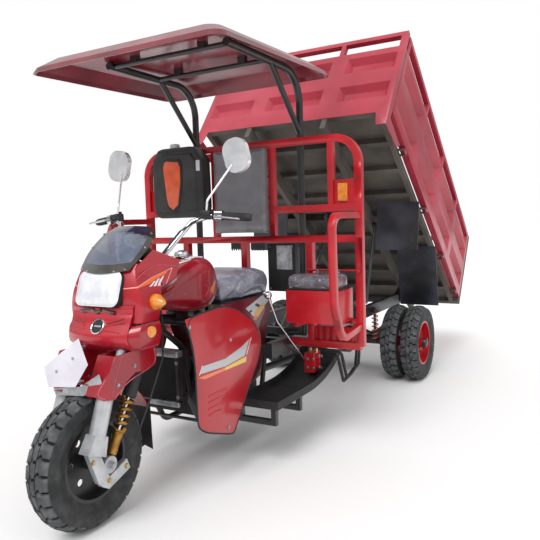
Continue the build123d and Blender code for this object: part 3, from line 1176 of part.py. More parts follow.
with BuildPart(BED) as bed_frame:
    floor_from = BED_FRONT + WALL_D + SEAT
    with Locations((0, (floor_from + BED_OVERHANG) / 2, BED_FLOOR_UP + FLOOR_T / 2)):
        Box(2 * EDGE, BED_OVERHANG - floor_from, FLOOR_T)
    for s in (-1, 1):
        with Locations((s * RAIL_X, FRAME_MID, BED_FLOOR_UP - BEARER_H - BEAM_H / 2)):
            Box(BEAM_W, FRAME_RUN, BEAM_H)
        with Locations((s * (EDGE - 15), FRAME_MID, BED_FLOOR_UP - BEARER_H / 2)):
            Box(30, FRAME_RUN, BEARER_H)
        # rear corner post with the hole of the tailgate's pin
        with Locations((s * (BED_HALF_W - POST_W / 2), BED_OVERHANG - POST_W / 2,
                        (BED_FLOOR_UP - BEARER_H + RAIL_TOP_B) / 2)):
            Box(POST_W, POST_W, RAIL_TOP_B - BED_FLOOR_UP + BEARER_H)
        with Locations((s * (BED_HALF_W - POST_W / 2), GATE_PIN_Y, GATE_PIN_B)):
            Cylinder(GATE_PIN_R + RUN, POST_W + 4, rotation=(0, 90, 0), mode=Mode.SUBTRACT)
        with Locations((s * RAIL_X, 0, 0)):
            Cylinder(PIN_R + RUN, BEAM_W + 4, rotation=(0, 90, 0), mode=Mode.SUBTRACT)
        # pins that the drop side hinges on, each between two arms
        for y in HINGE_AT:
            with Locations((s * HINGE_X, y, HINGE_B)):
                Cylinder(HINGE_PIN_R, KNUCKLE_L + 2 * 14, rotation=(90, 0, 0))
            for e in (-1, 1):
                with Locations((s * (EDGE - 2 + HINGE_X + HINGE_R) / 2, y + e * (KNUCKLE_L / 2 + 2 + 5),
                                HINGE_B - 2)):
                    Box(HINGE_X + HINGE_R - EDGE + 2, 10, 2 * HINGE_R - 4)
    for i in range(BEARERS):
        y = FRAME_FROM + BEARER_W / 2 + i * (FRAME_RUN - BEARER_W) / (BEARERS - 1)
        with Locations((0, y, BED_FLOOR_UP - BEARER_H / 2)):
            Box(2 * EDGE, BEARER_W, BEARER_H)
    # rear sill that carries both posts
    with Locations((0, BED_OVERHANG - POST_W / 2, BED_FLOOR_UP - BEARER_H / 2)):
        Box(2 * BED_HALF_W, POST_W, BEARER_H)
    # cross channel and ears for the cylinder's eye
    for e in (-1, 1):
        with Locations((0, -EYE_BACK + e * 60, BED_FLOOR_UP - BEARER_H - 12)):
            Box(2 * RAIL_X, 30, 24)
        with Locations((e * (BARREL_R + TOUCH + 5), -EYE_BACK, (EYE_UP - 24 + BED_FLOOR_UP - BEARER_H) / 2)):
            Box(8, 150, BED_FLOOR_UP - BEARER_H - EYE_UP + 24)
    # pin of the safety prop
    with Locations((RAIL_X + BEAM_W / 2 + 15, -PROP_BACK, PROP_UP)):
        Cylinder(8, 30 + 10, rotation=(0, 90, 0))
    # cross tube that ties the rear posts
    with Locations((0, BED_OVERHANG - POST_W / 2, RAIL_TOP_B - 15)):
        Box(2 * BED_HALF_W - POST_W, 30, 30)
bed_frame.part.label = "bed_frame"
export_step(bed_frame.part, "parts/bed_frame.step")

POCKET_D = WALL_D - SHEET_T     # the recesses reach the inner sheet
POCKET_TAPER = 35.0
ROW_LOW = (200.0, 338.0)        # heights of the two rows of recesses over the pin
ROW_HIGH = (448.0, 594.0)
PANEL_BOT = BED_FLOOR_UP + SEAT
CORNER_DOWN = -30.0             # lower end of the front corner plates
CORNER_BACK = 270.0
CORNER_TOP = 46.0               # their upper edge, under the drop sides

with BuildPart() as bed_front:
    outer = bed_face(BED_FRONT)
    with BuildSketch(outer):
        with Locations((0, (PANEL_BOT + WALL_TOP) / 2)):
            Rectangle(2 * BED_HALF_W, WALL_TOP - PANEL_BOT)
        # top rail on four posts
        with Locations((0, RAIL_TOP_B - 18)):
            Rectangle(2 * BED_HALF_W, 36)
        for x in (-BED_HALF_W + 20, -250, 250, BED_HALF_W - 20):
            with Locations((x, (WALL_TOP + RAIL_TOP_B) / 2)):
                Rectangle(40 if abs(x) > 300 else 30, RAIL_TOP_B - WALL_TOP)
    extrude(amount=-WALL_D)
    # the rail and its posts are tubes at the outer face
    with BuildSketch(bed_face(BED_FRONT + WALL_D)):
        with Locations((0, (WALL_TOP + RAIL_TOP_B) / 2 + 1)):
            Rectangle(2 * BED_HALF_W, RAIL_TOP_B - WALL_TOP + 2)
    extrude(amount=WALL_D - 34, mode=Mode.SUBTRACT)
    with BuildSketch(outer):
        for low, high in (ROW_LOW, ROW_HIGH):
            for x0, x1 in ((-640, -311), (-205, 200), (311, 640)):
                with Locations(((x0 + x1) / 2, (low + high - 10) / 2)):
                    Rectangle(x1 - x0, high - 10 - low)
    extrude(amount=-POCKET_D, taper=POCKET_TAPER, mode=Mode.SUBTRACT)
    # apron in front of the floor's frame, and plates that wrap the corners
    with BuildSketch(outer):
        with Locations((0, (BED_FLOOR_UP - BEARER_H + PANEL_BOT + 4) / 2)):
            Rectangle(2 * EDGE, PANEL_BOT + 4 - BED_FLOOR_UP + BEARER_H)
        for s in (-1, 1):
            Polygon((s * (EDGE - 30), PANEL_BOT + 4), (s * BED_HALF_W, PANEL_BOT + 4),
                    (s * BED_HALF_W, CORNER_DOWN), (s * (EDGE - 12), CORNER_DOWN),
                    (s * (EDGE - 30), BED_FLOOR_UP - BEARER_H), align=None)
    extrude(amount=-APRON_T)
    for s in (-1, 1):
        with BuildSketch(bed_side(s * (BED_HALF_W - APRON_T / 2) - APRON_T / 2)):
            Polygon((BED_FRONT, PANEL_BOT + 4), (BED_FRONT + WALL_D, PANEL_BOT + 4),
                    (BED_FRONT + WALL_D, CORNER_TOP + 8), (BED_FRONT + CORNER_BACK, CORNER_TOP),
                    (BED_FRONT + CORNER_BACK - 40, -6), (BED_FRONT, CORNER_DOWN), align=None)
        extrude(amount=APRON_T)
bed_front.part.label = "bed_front"
export_step(bed_front.part, "parts/bed_front.step")

SIDE_FRONT = BED_FRONT + WALL_D + TOUCH
SIDE_REAR = BED_OVERHANG - POST_W - TOUCH
SIDE_BOT = BED_FLOOR_UP + TOUCH
BAYS = 4
PILLAR_W = 84.0           # between the recesses of two bays
BAY = (SIDE_REAR - SIDE_FRONT) / BAYS
for s, label in ((1, "bed_side_left"), (-1, "bed_side_right")):
    with BuildPart() as board:
        x_out = s * BED_HALF_W
        outer = Plane(origin=BED.from_local_coords(Vector(x_out, 0, 0)), x_dir=BED.y_dir * s,
                      z_dir=BED.x_dir * s)
        with BuildSketch(outer):
            ends = sorted((s * SIDE_FRONT, s * SIDE_REAR))
            mid = (ends[0] + ends[1]) / 2
            with Locations((mid, (SIDE_BOT + WALL_TOP) / 2)):
                Rectangle(ends[1] - ends[0], WALL_TOP - SIDE_BOT)
        extrude(amount=-WALL_D)
        # top rail and its posts
        with BuildSketch(outer):
            with Locations((mid, RAIL_TOP_B - 18)):
                Rectangle(ends[1] - ends[0], 36)
            for i in range(BAYS + 1):
                y = SIDE_FRONT + 20 + i * (SIDE_REAR - SIDE_FRONT - 40) / BAYS
                with Locations((s * y, (WALL_TOP + RAIL_TOP_B) / 2)):
                    Rectangle(34, RAIL_TOP_B - WALL_TOP)
        extrude(amount=-34)
        with BuildSketch(outer):
            for i in range(BAYS):
                for low, high in (ROW_LOW, ROW_HIGH):
                    with Locations((s * (SIDE_FRONT + (i + 0.5) * BAY), (low + high) / 2)):
                        Rectangle(BAY - PILLAR_W, high - low)
        extrude(amount=-POCKET_D, taper=POCKET_TAPER, mode=Mode.SUBTRACT)
        # hinge knuckles under the board
        for y in HINGE_AT:
            with BuildSketch(Plane(origin=BED.from_local_coords(Vector(0, y - KNUCKLE_L / 2, 0)),
                                   x_dir=BED.x_dir, z_dir=-BED.y_dir)):
                with Locations((s * HINGE_X, HINGE_B)):
                    Circle(HINGE_R)
                with Locations((s * (HINGE_X + 2), (HINGE_B + SIDE_BOT + 4) / 2)):
                    Rectangle(2 * HINGE_R - 4, SIDE_BOT + 4 - HINGE_B)
                with Locations((s * HINGE_X, HINGE_B)):
                    Circle(HINGE_PIN_R + RUN, mode=Mode.SUBTRACT)
            extrude(amount=-KNUCKLE_L)
    board.part.label = label
    export_step(board.part, "parts/" + label + ".step")

with BuildPart() as tailgate:
    half = BED_HALF_W - POST_W - TOUCH
    low = BED_FLOOR_UP + FLOOR_T + TOUCH
    outer = Plane(origin=BED.from_local_coords(Vector(0, BED_OVERHANG, 0)), x_dir=-BED.x_dir, z_dir=BED.y_dir)
    with BuildSketch(outer):
        with Locations((0, (low + GATE_TOP) / 2)):
            Rectangle(2 * half, GATE_TOP - low)
    extrude(amount=-WALL_D)
    with BuildSketch(outer):
        for low, high in (ROW_LOW, ROW_HIGH):
            for x in (-GATE_BAY, 0, GATE_BAY):
                with Locations((x, (low + high - 24) / 2)):
                    Rectangle(GATE_BAY - 60, high - 24 - low)
    extrude(amount=-POCKET_D, taper=POCKET_TAPER, mode=Mode.SUBTRACT)
    # pins into the rear posts
    with Locations(BED.from_local_coords(Vector(0, GATE_PIN_Y, GATE_PIN_B))):
        Cylinder(GATE_PIN_R, 2 * (half + TOUCH + 30), rotation=(0, 90, 0))
tailgate.part.label = "tailgate"
export_step(tailgate.part, "parts/tailgate.step")

FENDER_X = REAR_TRACK / 2 + 12
FENDER_W = 300.0
FENDER_TOP = BED_FLOOR_UP - BEARER_H - SEAT
FENDER_SHEETS = ((-1094, FENDER_TOP, -1010, -78), (-1014, -70, -934, -222),
                 (-544, FENDER_TOP, -400, -82), (-404, -72, -204, -252))
with BuildPart(BED) as bed_fenders:
    for s in (-1, 1):
        for y0, z0, y1, z1 in FENDER_SHEETS:
            with BuildSketch(bed_side(s * FENDER_X - FENDER_W / 2)):
                Polygon((y0, z0), (y0 + 4, z0), (y1 + 4, z1), (y1, z1), align=None)
            extrude(amount=FENDER_W)
        # struts behind each pair of sheets
        for y0, y1, z1 in ((-1072, -962, -180), (-520, -270, -200)):
            for x in (s * FENDER_X - 100, s * FENDER_X + 90):
                with BuildSketch(bed_side(x)):
                    Polygon((y0, FENDER_TOP), (y0 + 16, FENDER_TOP), (y1 + 14, z1), (y1, z1), align=None)
                extrude(amount=10)
bed_fenders.part.label = "bed_fenders"
export_step(bed_fenders.part, "parts/bed_fenders.step")

# ================================================================ tipping cylinder
EYE = BED.from_local_coords(Vector(0, -EYE_BACK, EYE_UP))
RAM_BASE = Vector(0, RAM_Y, RAM_Z)
RAM_DIR = (EYE - RAM_BASE).normalized()
RAM_LEN = (EYE - RAM_BASE).length
RAM_CLOSED = (Vector(0, PIN_Y - EYE_BACK, PIN_Z + EYE_UP) - RAM_BASE).length
ROD_L = RAM_CLOSED - 40
RAM = Plane(origin=RAM_BASE, x_dir=(1, 0, 0), z_dir=RAM_DIR)
with BuildPart(RAM) as cylinder_barrel:
    with Locations((0, 0, 20 + BARREL_L / 2)):
        Cylinder(BARREL_R, BARREL_L)
    with Locations((0, 0, 0)):
        Cylinder(28, 2 * BARREL_R, rotation=(0, 90, 0))
        Cylinder(12 + RUN, 3 * BARREL_R, rotation=(0, 90, 0), mode=Mode.SUBTRACT)
    with Locations((0, 0, 30 + BARREL_L / 2)):
        Cylinder(ROD_R + RUN, BARREL_L, mode=Mode.SUBTRACT)
cylinder_barrel.part.label = "cylinder_barrel"
export_step(cylinder_barrel.part, "parts/cylinder_barrel.step")

with BuildPart(RAM) as cylinder_rod:
    with Locations((0, 0, RAM_LEN - ROD_L / 2)):
        Cylinder(ROD_R, ROD_L)
    with Locations((0, 0, RAM_LEN)):
        Cylinder(26, 36, rotation=(0, 90, 0))
cylinder_rod.part.label = "cylinder_rod"
export_step(cylinder_rod.part, "parts/cylinder_rod.step")

# ================================================================ safety prop
PROP_X = RAIL_X + BEAM_W / 2 + TOUCH + 12
PROP_TOP = BED.from_local_coords(Vector(PROP_X, -PROP_BACK, PROP_UP))
PROP_FOOT = Vector(PROP_X, FA + 2340, 602)
with BuildPart() as safety_prop:
    with BuildLine():
        prop = Line(PROP_TOP, PROP_FOOT)
    with BuildSketch(Plane(prop @ 0, z_dir=prop % 0)):
        Circle(12)
    sweep(path=prop)
    with Locations(PROP_TOP):
        Cylinder(20, 20, rotation=(0, 90, 0))
        Cylinder(8 + RUN, 40, rotation=(0, 90, 0), mode=Mode.SUBTRACT)
safety_prop.part.label = "safety_prop"
export_step(safety_prop.part, "parts/safety_prop.step")
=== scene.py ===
# %% [markdown]
# # A tipping cargo tricycle, dressed for the studio
# The welded frame, the wheels and the bed come from the CAD model in their true places. This lesson
# gives each of them the finish of the real thing, and models the soft, moulded and fine pieces over
# them. Each step first says what the piece is, then builds it with a few mesh operators.

# %% Load the frame
import json
from math import cos, hypot, pi, radians, sin, tau
import bpy
import bmesh
from mathutils import Matrix, Vector
from mathutils.bvhtree import BVHTree

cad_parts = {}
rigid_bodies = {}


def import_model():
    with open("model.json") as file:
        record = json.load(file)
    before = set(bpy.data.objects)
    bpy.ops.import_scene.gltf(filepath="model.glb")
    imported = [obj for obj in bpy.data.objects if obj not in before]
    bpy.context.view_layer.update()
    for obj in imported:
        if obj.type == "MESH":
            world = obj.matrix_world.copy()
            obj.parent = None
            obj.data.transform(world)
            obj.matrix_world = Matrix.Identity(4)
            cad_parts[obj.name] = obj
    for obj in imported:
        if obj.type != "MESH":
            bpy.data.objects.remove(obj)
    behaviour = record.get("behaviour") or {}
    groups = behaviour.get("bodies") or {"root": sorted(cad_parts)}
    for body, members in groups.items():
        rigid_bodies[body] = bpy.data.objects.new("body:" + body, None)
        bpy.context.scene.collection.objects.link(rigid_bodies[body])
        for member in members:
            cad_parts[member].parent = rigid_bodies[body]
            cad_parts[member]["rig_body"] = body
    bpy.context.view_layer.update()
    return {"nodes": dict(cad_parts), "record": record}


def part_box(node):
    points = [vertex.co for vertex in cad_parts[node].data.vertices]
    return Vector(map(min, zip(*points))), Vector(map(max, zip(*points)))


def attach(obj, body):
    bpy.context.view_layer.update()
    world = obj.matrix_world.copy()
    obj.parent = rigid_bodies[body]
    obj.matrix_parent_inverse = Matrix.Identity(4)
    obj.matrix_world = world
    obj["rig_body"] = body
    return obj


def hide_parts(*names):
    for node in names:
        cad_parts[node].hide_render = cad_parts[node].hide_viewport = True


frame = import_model()
front_low, front_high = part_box("front_tyre")
AXLE_Y = (front_low[1] + front_high[1]) / 2
WHEEL_R = (front_high[2] - front_low[2]) / 2
print("nodes", len(frame["nodes"]), "front axle at", round(AXLE_Y, 4), "wheel radius", round(WHEEL_R, 4))


def at(x, y, z):
    """A point whose y is measured back from the front axle."""
    return Vector((x, y + AXLE_Y, z))


# %% [markdown]
# ## Camera and studio
# The camera stands ahead of the tricycle and to its left, a little over the seats, and looks slightly
# down. The floor is pale, and the sky is a large soft white dome with one broad lamp, so that the
# gloss paint has something to reflect and the shadow under the wheels stays soft.

# %% Camera
yaw, pitch, roll = radians(29.7289), radians(-4.6572), radians(-1.6946)
ahead = Vector((-sin(yaw) * cos(pitch), cos(yaw) * cos(pitch), sin(pitch)))
level = Vector((cos(yaw), sin(yaw), 0))
upward = level.cross(ahead)
right = level * cos(roll) + upward * sin(roll)
up = upward * cos(roll) - level * sin(roll)
camera = bpy.data.objects.new("camera", bpy.data.cameras.new("camera"))
bpy.context.scene.collection.objects.link(camera)
camera.matrix_world = Matrix.Translation(at(1.80536, -1.64848, 1.20186)) @ Matrix(
    (right, up, -ahead)).transposed().to_4x4()
camera.data.sensor_width = 36
camera.data.lens = 39.822
camera.data.clip_end = 200
bpy.context.scene.camera = camera
print("camera at", [round(c, 3) for c in camera.matrix_world.translation])


# %% [markdown]
# ## A small kit for finishes
# A colour is written as the hex value that a paint chart gives, and one function turns it to the
# linear light that the renderer works in. One more function adds a node with its settings and links.

# %% Colour and node helpers
def paint(code):
    """Hex colour to linear RGBA."""
    parts = [int(code[i:i + 2], 16) / 255 for i in (0, 2, 4)]
    return tuple(c / 12.92 if c <= 0.04045 else ((c + 0.055) / 1.055) ** 2.4 for c in parts) + (1.0,)


def add(material, kind, links=None, **settings):
    """Adds a node; a setting is an input's value where the node has that input, else a property."""
    made = material.node_tree.nodes.new("ShaderNode" + kind)
    for name, value in settings.items():
        title = name.replace("_", " ").lower()
        sockets = [s for s in made.inputs if s.name.lower() == title and s.enabled]
        if sockets:
            sockets[0].default_value = value
        else:
            setattr(made, name, value)
    for title, source in (links or {}).items():
        material.node_tree.links.new(source, made.inputs[title])
    return made


def per_mm(size):
    """Texture scale that makes one cell as large as size, in millimetres."""
    return 1000.0 / size


def finish_of(name, code, roughness, **shader):
    """A new material with its Principled shader; uniform values sit on the shader's own sockets."""
    material = bpy.data.materials.new(name)
    material.use_nodes = True
    tree = material.node_tree
    tree.nodes.clear()
    bsdf = add(material, "BsdfPrincipled", Base_Color=paint(code), Roughness=roughness, **shader)
    add(material, "OutputMaterial", {"Surface": bsdf.outputs["BSDF"]})
    where = add(material, "TexCoord").outputs["Object"]
    return material, bsdf, where


def shift_colour(material, bsdf, where, codes, cell_mm, detail=4.0, low=0.35, high=0.65):
    """Lets the colour drift between two or three tones over cells of that size."""
    noise = add(material, "TexNoise", {"Vector": where}, Scale=per_mm(cell_mm), Detail=detail)
    ramp = add(material, "ValToRGB", {"Fac": noise.outputs["Fac"]})
    stops = ramp.color_ramp.elements
    stops[0].position, stops[0].color = low, paint(codes[0])
    stops[1].position, stops[1].color = high, paint(codes[-1])
    if len(codes) == 3:
        stops.new((low + high) / 2).color = paint(codes[1])
    material.node_tree.links.new(ramp.outputs["Color"], bsdf.inputs["Base Color"])


def emboss(material, bsdf, height, strength, depth_mm):
    """Presses a height pattern into the surface."""
    press = add(material, "Bump", {"Height": height}, Strength=strength, Distance=depth_mm / 1000)
    material.node_tree.links.new(press.outputs["Normal"], bsdf.inputs["Normal"])


def grain(material, bsdf, where, cell_mm, depth_mm, detail=3.0, strength=0.5):
    """Fine relief: cell size across, depth out of the surface."""
    noise = add(material, "TexNoise", {"Vector": where}, Scale=per_mm(cell_mm), Detail=detail)
    emboss(material, bsdf, noise.outputs["Fac"], strength, depth_mm)


def lay_over(material, bsdf, amount, code):
    """Mixes a colour over the shader's base colour, by an amount from 0 to 1."""
    base = bsdf.inputs["Base Color"]
    mix = add(material, "Mix", data_type="RGBA")
    links = material.node_tree.links
    links.new(amount, mix.inputs["Factor"])
    links.new(base.links[0].from_socket, mix.inputs[6])
    mix.inputs[7].default_value = paint(code)
    links.new(mix.outputs[2], base)


def vary_roughness(material, bsdf, where, cell_mm, low, high):
    """Roughness that wanders between two values, as on handled or dusty paint."""
    noise = add(material, "TexNoise", {"Vector": where}, Scale=per_mm(cell_mm), Detail=5.0)
    spread = add(material, "MapRange", {"Value": noise.outputs["Fac"]}, From_Min=0.3, From_Max=0.7,
                 To_Min=low, To_Max=high)
    material.node_tree.links.new(spread.outputs["Result"], bsdf.inputs["Roughness"])


# %% [markdown]
# ## Studio
# The floor is a plain pale sheet. Its colour and the white sky make the background, and the lamp stays
# modest so that the red paint keeps its depth.

# %% Floor, sky and lamp
floor_bm = bmesh.new()
bmesh.ops.create_grid(floor_bm, x_segments=1, y_segments=1, size=60)
floor_mesh = bpy.data.meshes.new("studio_floor")
floor_bm.to_mesh(floor_mesh)
floor_bm.free()
floor = bpy.data.objects.new("studio_floor", floor_mesh)
bpy.context.scene.collection.objects.link(floor)
floor_finish, _, _ = finish_of("pale studio floor", "f6f6f6", 0.9)
floor.data.materials.append(floor_finish)

world = bpy.data.worlds.new("white sky")
bpy.context.scene.world = world
world.use_nodes = True
world.node_tree.nodes.clear()
seen = add(world, "LightPath")
straight = add(world, "Math", {0: seen.outputs["Is Camera Ray"], 1: seen.outputs["Is Transmission Ray"]},
               operation="MAXIMUM")
height = add(world, "SeparateXYZ", {"Vector": add(world, "TexCoord").outputs["Generated"]})
dome = add(world, "ValToRGB", {"Fac": height.outputs["Z"]})
dome.color_ramp.elements[0].position, dome.color_ramp.elements[0].color = 0.0, (0.26, 0.26, 0.28, 1)
dome.color_ramp.elements[1].position, dome.color_ramp.elements[1].color = 0.55, (1.0, 1.0, 1.0, 1)
light_sky = add(world, "Background", {"Color": dome.outputs["Color"]}, Strength=0.86)
plain_sky = add(world, "Background", Color=(1, 1, 1, 1), Strength=1.0)
sky = add(world, "MixShader", {0: straight.outputs[0], 1: light_sky.outputs[0], 2: plain_sky.outputs[0]})
add(world, "OutputWorld", {"Surface": sky.outputs[0]})

STUDIO_LAMPS = (("broad sun", 1.7, 30, (38, -12, 20)), ("side fill", 0.35, 60, (62, 0, 75)))
for lamp_name, strength, spread, tilt in STUDIO_LAMPS:
    lamp = bpy.data.objects.new(lamp_name, bpy.data.lights.new(lamp_name, "SUN"))
    lamp.data.energy = strength
    lamp.data.angle = radians(spread)
    lamp.rotation_euler = [radians(a) for a in tilt]
    bpy.context.scene.collection.objects.link(lamp)
bpy.context.scene.view_settings.view_transform = "Standard"
print("studio ready")

# %% [markdown]
# ## Finishes of the real materials
# Sheet metal here is sprayed with gloss enamel over primer: colour first, then a clear gloss that is
# never quite flat. Moulded covers are ABS, bars are chromed tube, and all that flexes is black rubber.

# %% Enamels
enamel_red, bsdf, where = finish_of("red gloss enamel on welded tube", "b81420", 0.34, Coat_Weight=0.3,
                                    Coat_Roughness=0.12)
shift_colour(enamel_red, bsdf, where, ("ab0f1b", "c41a27"), 180)
grain(enamel_red, bsdf, where, 2.6, 0.05, strength=0.35)          # orange peel, 2 to 3 mm across

bed_red, bsdf, where = finish_of("red enamel on pressed bed sheet", "a82438", 0.4, Coat_Weight=0.25,
                                 Coat_Roughness=0.2)
shift_colour(bed_red, bsdf, where, ("9c1f33", "ad2a3e", "b93a4d"), 420)
grain(bed_red, bsdf, where, 3.0, 0.08, strength=0.35)
vary_roughness(bed_red, bsdf, where, 160, 0.3, 0.46)

primer_brown, bsdf, where = finish_of("brown-grey primer under the bed", "56504a", 0.62)
shift_colour(primer_brown, bsdf, where, ("4a4641", "5b554e", "67615a"), 260)
grain(primer_brown, bsdf, where, 1.8, 0.12)
vary_roughness(primer_brown, bsdf, where, 120, 0.5, 0.75)

enamel_black, bsdf, where = finish_of("black satin chassis enamel", "1b1b1e", 0.38, Coat_Weight=0.25,
                                      Coat_Roughness=0.25)
shift_colour(enamel_black, bsdf, where, ("161618", "242427"), 90)
grain(enamel_black, bsdf, where, 2.2, 0.08, strength=0.4)

silver_paint, bsdf, where = finish_of("silver metallic paint on fork tube", "b9bbbe", 0.34, Metallic=0.55,
                                      Coat_Weight=0.4)
shift_colour(silver_paint, bsdf, where, ("aeb0b3", "c9cbce"), 60)
grain(silver_paint, bsdf, where, 0.9, 0.03, strength=0.3)
print("enamels:", enamel_red.name, "|", bed_red.name, "|", primer_brown.name, "|", enamel_black.name)

# %% Moulded covers
cover_red, bsdf, where = finish_of("red painted ABS cover", "a31022", 0.26, Coat_Weight=0.5,
                                   Coat_Roughness=0.06)
shift_colour(cover_red, bsdf, where, ("930d1f", "ac1526"), 220)
grain(cover_red, bsdf, where, 3.5, 0.04, strength=0.25)

roof_maroon, bsdf, where = finish_of("maroon glass-fibre roof shell", "7c1b2d", 0.34, Coat_Weight=0.5,
                                     Coat_Roughness=0.15)
shift_colour(roof_maroon, bsdf, where, ("5f1021", "771828", "851f30"), 300)
grain(roof_maroon, bsdf, where, 5.0, 0.15, strength=0.35)         # the mat's fibres print through
vary_roughness(roof_maroon, bsdf, where, 140, 0.28, 0.45)

plastic_black, bsdf, where = finish_of("black grained polypropylene", "1e1f21", 0.52)
shift_colour(plastic_black, bsdf, where, ("191a1c", "27282b"), 70)
grain(plastic_black, bsdf, where, 0.9, 0.15, strength=0.6)        # moulded leather grain

plastic_white, bsdf, where = finish_of("white ABS plate", "e8e9ec", 0.32, Coat_Weight=0.2)
shift_colour(plastic_white, bsdf, where, ("cfccd6", "dddae3"), 90)
grain(plastic_white, bsdf, where, 1.5, 0.03, strength=0.3)
print("covers:", cover_red.name, "|", roof_maroon.name, "|", plastic_black.name)

# %% Rubber
tyre_rubber, bsdf, where = finish_of("tyre rubber, dusty", "2b2c2d", 0.72)
shift_colour(tyre_rubber, bsdf, where, ("232425", "333435", "454545"), 55, low=0.38, high=0.72)
grain(tyre_rubber, bsdf, where, 1.1, 0.2, strength=0.6)

rubber_black, bsdf, where = finish_of("black moulded rubber", "1f1f21", 0.6)
shift_colour(rubber_black, bsdf, where, ("1a1a1b", "2b2b2d"), 50)
grain(rubber_black, bsdf, where, 1.0, 0.15)
print("rubber:", tyre_rubber.name, "|", rubber_black.name)

# %% Metals
chrome, bsdf, where = finish_of("chrome plate", "d5d7da", 0.09, Metallic=1.0)
shift_colour(chrome, bsdf, where, ("c8cbce", "dcdee0"), 80)
vary_roughness(chrome, bsdf, where, 30, 0.06, 0.16)

cast_black, bsdf, where = finish_of("black cast aluminium engine", "232427", 0.5, Metallic=0.6)
shift_colour(cast_black, bsdf, where, ("1c1d1f", "303134"), 40)
grain(cast_black, bsdf, where, 1.6, 0.25, strength=0.7)           # sand-cast skin

gold_anodised, bsdf, where = finish_of("gold anodised aluminium", "a97a35", 0.3, Metallic=0.9)
shift_colour(gold_anodised, bsdf, where, ("94692b", "bb8c46"), 35)
grain(gold_anodised, bsdf, where, 0.6, 0.03, strength=0.3)

coil_copper, bsdf, where = finish_of("copper-red spring enamel", "a8492f", 0.35, Coat_Weight=0.4)
shift_colour(coil_copper, bsdf, where, ("963c26", "b85a3d"), 25)
grain(coil_copper, bsdf, where, 1.2, 0.06)
print("metals:", chrome.name, "|", cast_black.name, "|", gold_anodised.name)

# %% Vinyl and lenses
seat_vinyl, bsdf, where = finish_of("grey seat vinyl", "5a5c63", 0.42, Sheen_Weight=0.15)
shift_colour(seat_vinyl, bsdf, where, ("4d4f56", "666870"), 70)
pebbles = add(seat_vinyl, "TexVoronoi", {"Vector": where}, Scale=per_mm(2.4))      # pressed leather grain
emboss(seat_vinyl, bsdf, pebbles.outputs["Distance"], 0.5, 0.3)

lens_clear, bsdf, where = finish_of("clear polycarbonate lens", "eef2f4", 0.05, Transmission_Weight=0.85,
                                    IOR=1.58, Alpha=0.6)
grain(lens_clear, bsdf, where, 12, 0.3, detail=0.0, strength=0.2)

screen_smoke, bsdf, where = finish_of("smoke-blue acrylic windscreen", "5a6478", 0.06, IOR=1.49,
                                      Coat_Weight=1.0, Alpha=0.78)
shift_colour(screen_smoke, bsdf, where, ("4c5568", "6b7690"), 120)

lens_amber, bsdf, where = finish_of("amber polycarbonate lens", "f08a1d", 0.12, IOR=1.58, Coat_Weight=0.6,
                                    Transmission_Weight=0.15)
shift_colour(lens_amber, bsdf, where, ("e87d12", "f9a13a"), 20)
ribs = add(lens_amber, "TexWave", {"Vector": where}, Scale=per_mm(4) / 6.0, bands_direction="Z")
emboss(lens_amber, bsdf, ribs.outputs["Fac"], 0.4, 0.6)
print("vinyl and lenses:", seat_vinyl.name, "|", lens_clear.name, "|", lens_amber.name)

# %% [markdown]
# ## Finishes on the frame's own pieces
# A node of the CAD model whose shape is already right keeps its mesh and takes its finish from the
# record's material slot.

# %% Hand the finishes out
SLOT_FINISH = {
    "red_paint": enamel_red, "red_gloss": cover_red, "maroon_gloss": roof_maroon, "black_paint": enamel_black,
    "coil_paint": coil_copper, "silver_paint": silver_paint, "gold_finish": gold_anodised,
    "white_plastic": plastic_white, "engine_metal": cast_black, "chrome_plate": chrome,
    "black_plastic": plastic_black, "black_rubber": rubber_black, "tyre_rubber": tyre_rubber,
    "seat_cover": seat_vinyl, "amber_lens": lens_amber, "clear_lens": lens_clear, "smoke_lens": screen_smoke,
    "bed_grey": primer_brown, "grey_sheet": plastic_black,
}
BED_NODES = ("bed_front", "bed_side_left", "bed_side_right", "tailgate")
for part in frame["record"]["subparts"]:
    node = frame["nodes"][part["node"]]
    node.data.materials.clear()
    node.data.materials.append(bed_red if part["node"] in BED_NODES else SLOT_FINISH[part["material_slot"]])

# %% [markdown]
# ## Workshop helpers
# Every new piece is a bmesh that ends in the same way: normals turned outwards, a mesh in the frame's
# own place, a finish, and the body that it rides on.

# %% Turn a bmesh into a piece
def make_piece(name, bm, body, *finishes, slot=None, stands_for=(), crease=35):
    """Closes the bmesh into an object that rides on a body, smooth except at creases."""
    bmesh.ops.recalc_face_normals(bm, faces=bm.faces)
    mesh = bpy.data.meshes.new(name)
    bm.to_mesh(mesh)
    bm.free()
    for finish in finishes:
        mesh.materials.append(finish)
    mesh.shade_smooth()
    mesh.set_sharp_from_angle(angle=radians(crease))
    piece = bpy.data.objects.new(name, mesh)
    bpy.context.scene.collection.objects.link(piece)
    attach(piece, body)
    if stands_for:
        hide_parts(*stands_for)
    print(name, len(mesh.polygons), "faces on", body)
    return piece


def in_order(items):
    """Each item once, in the order met: a set's order changes from run to run."""
    return list(dict.fromkeys(items))


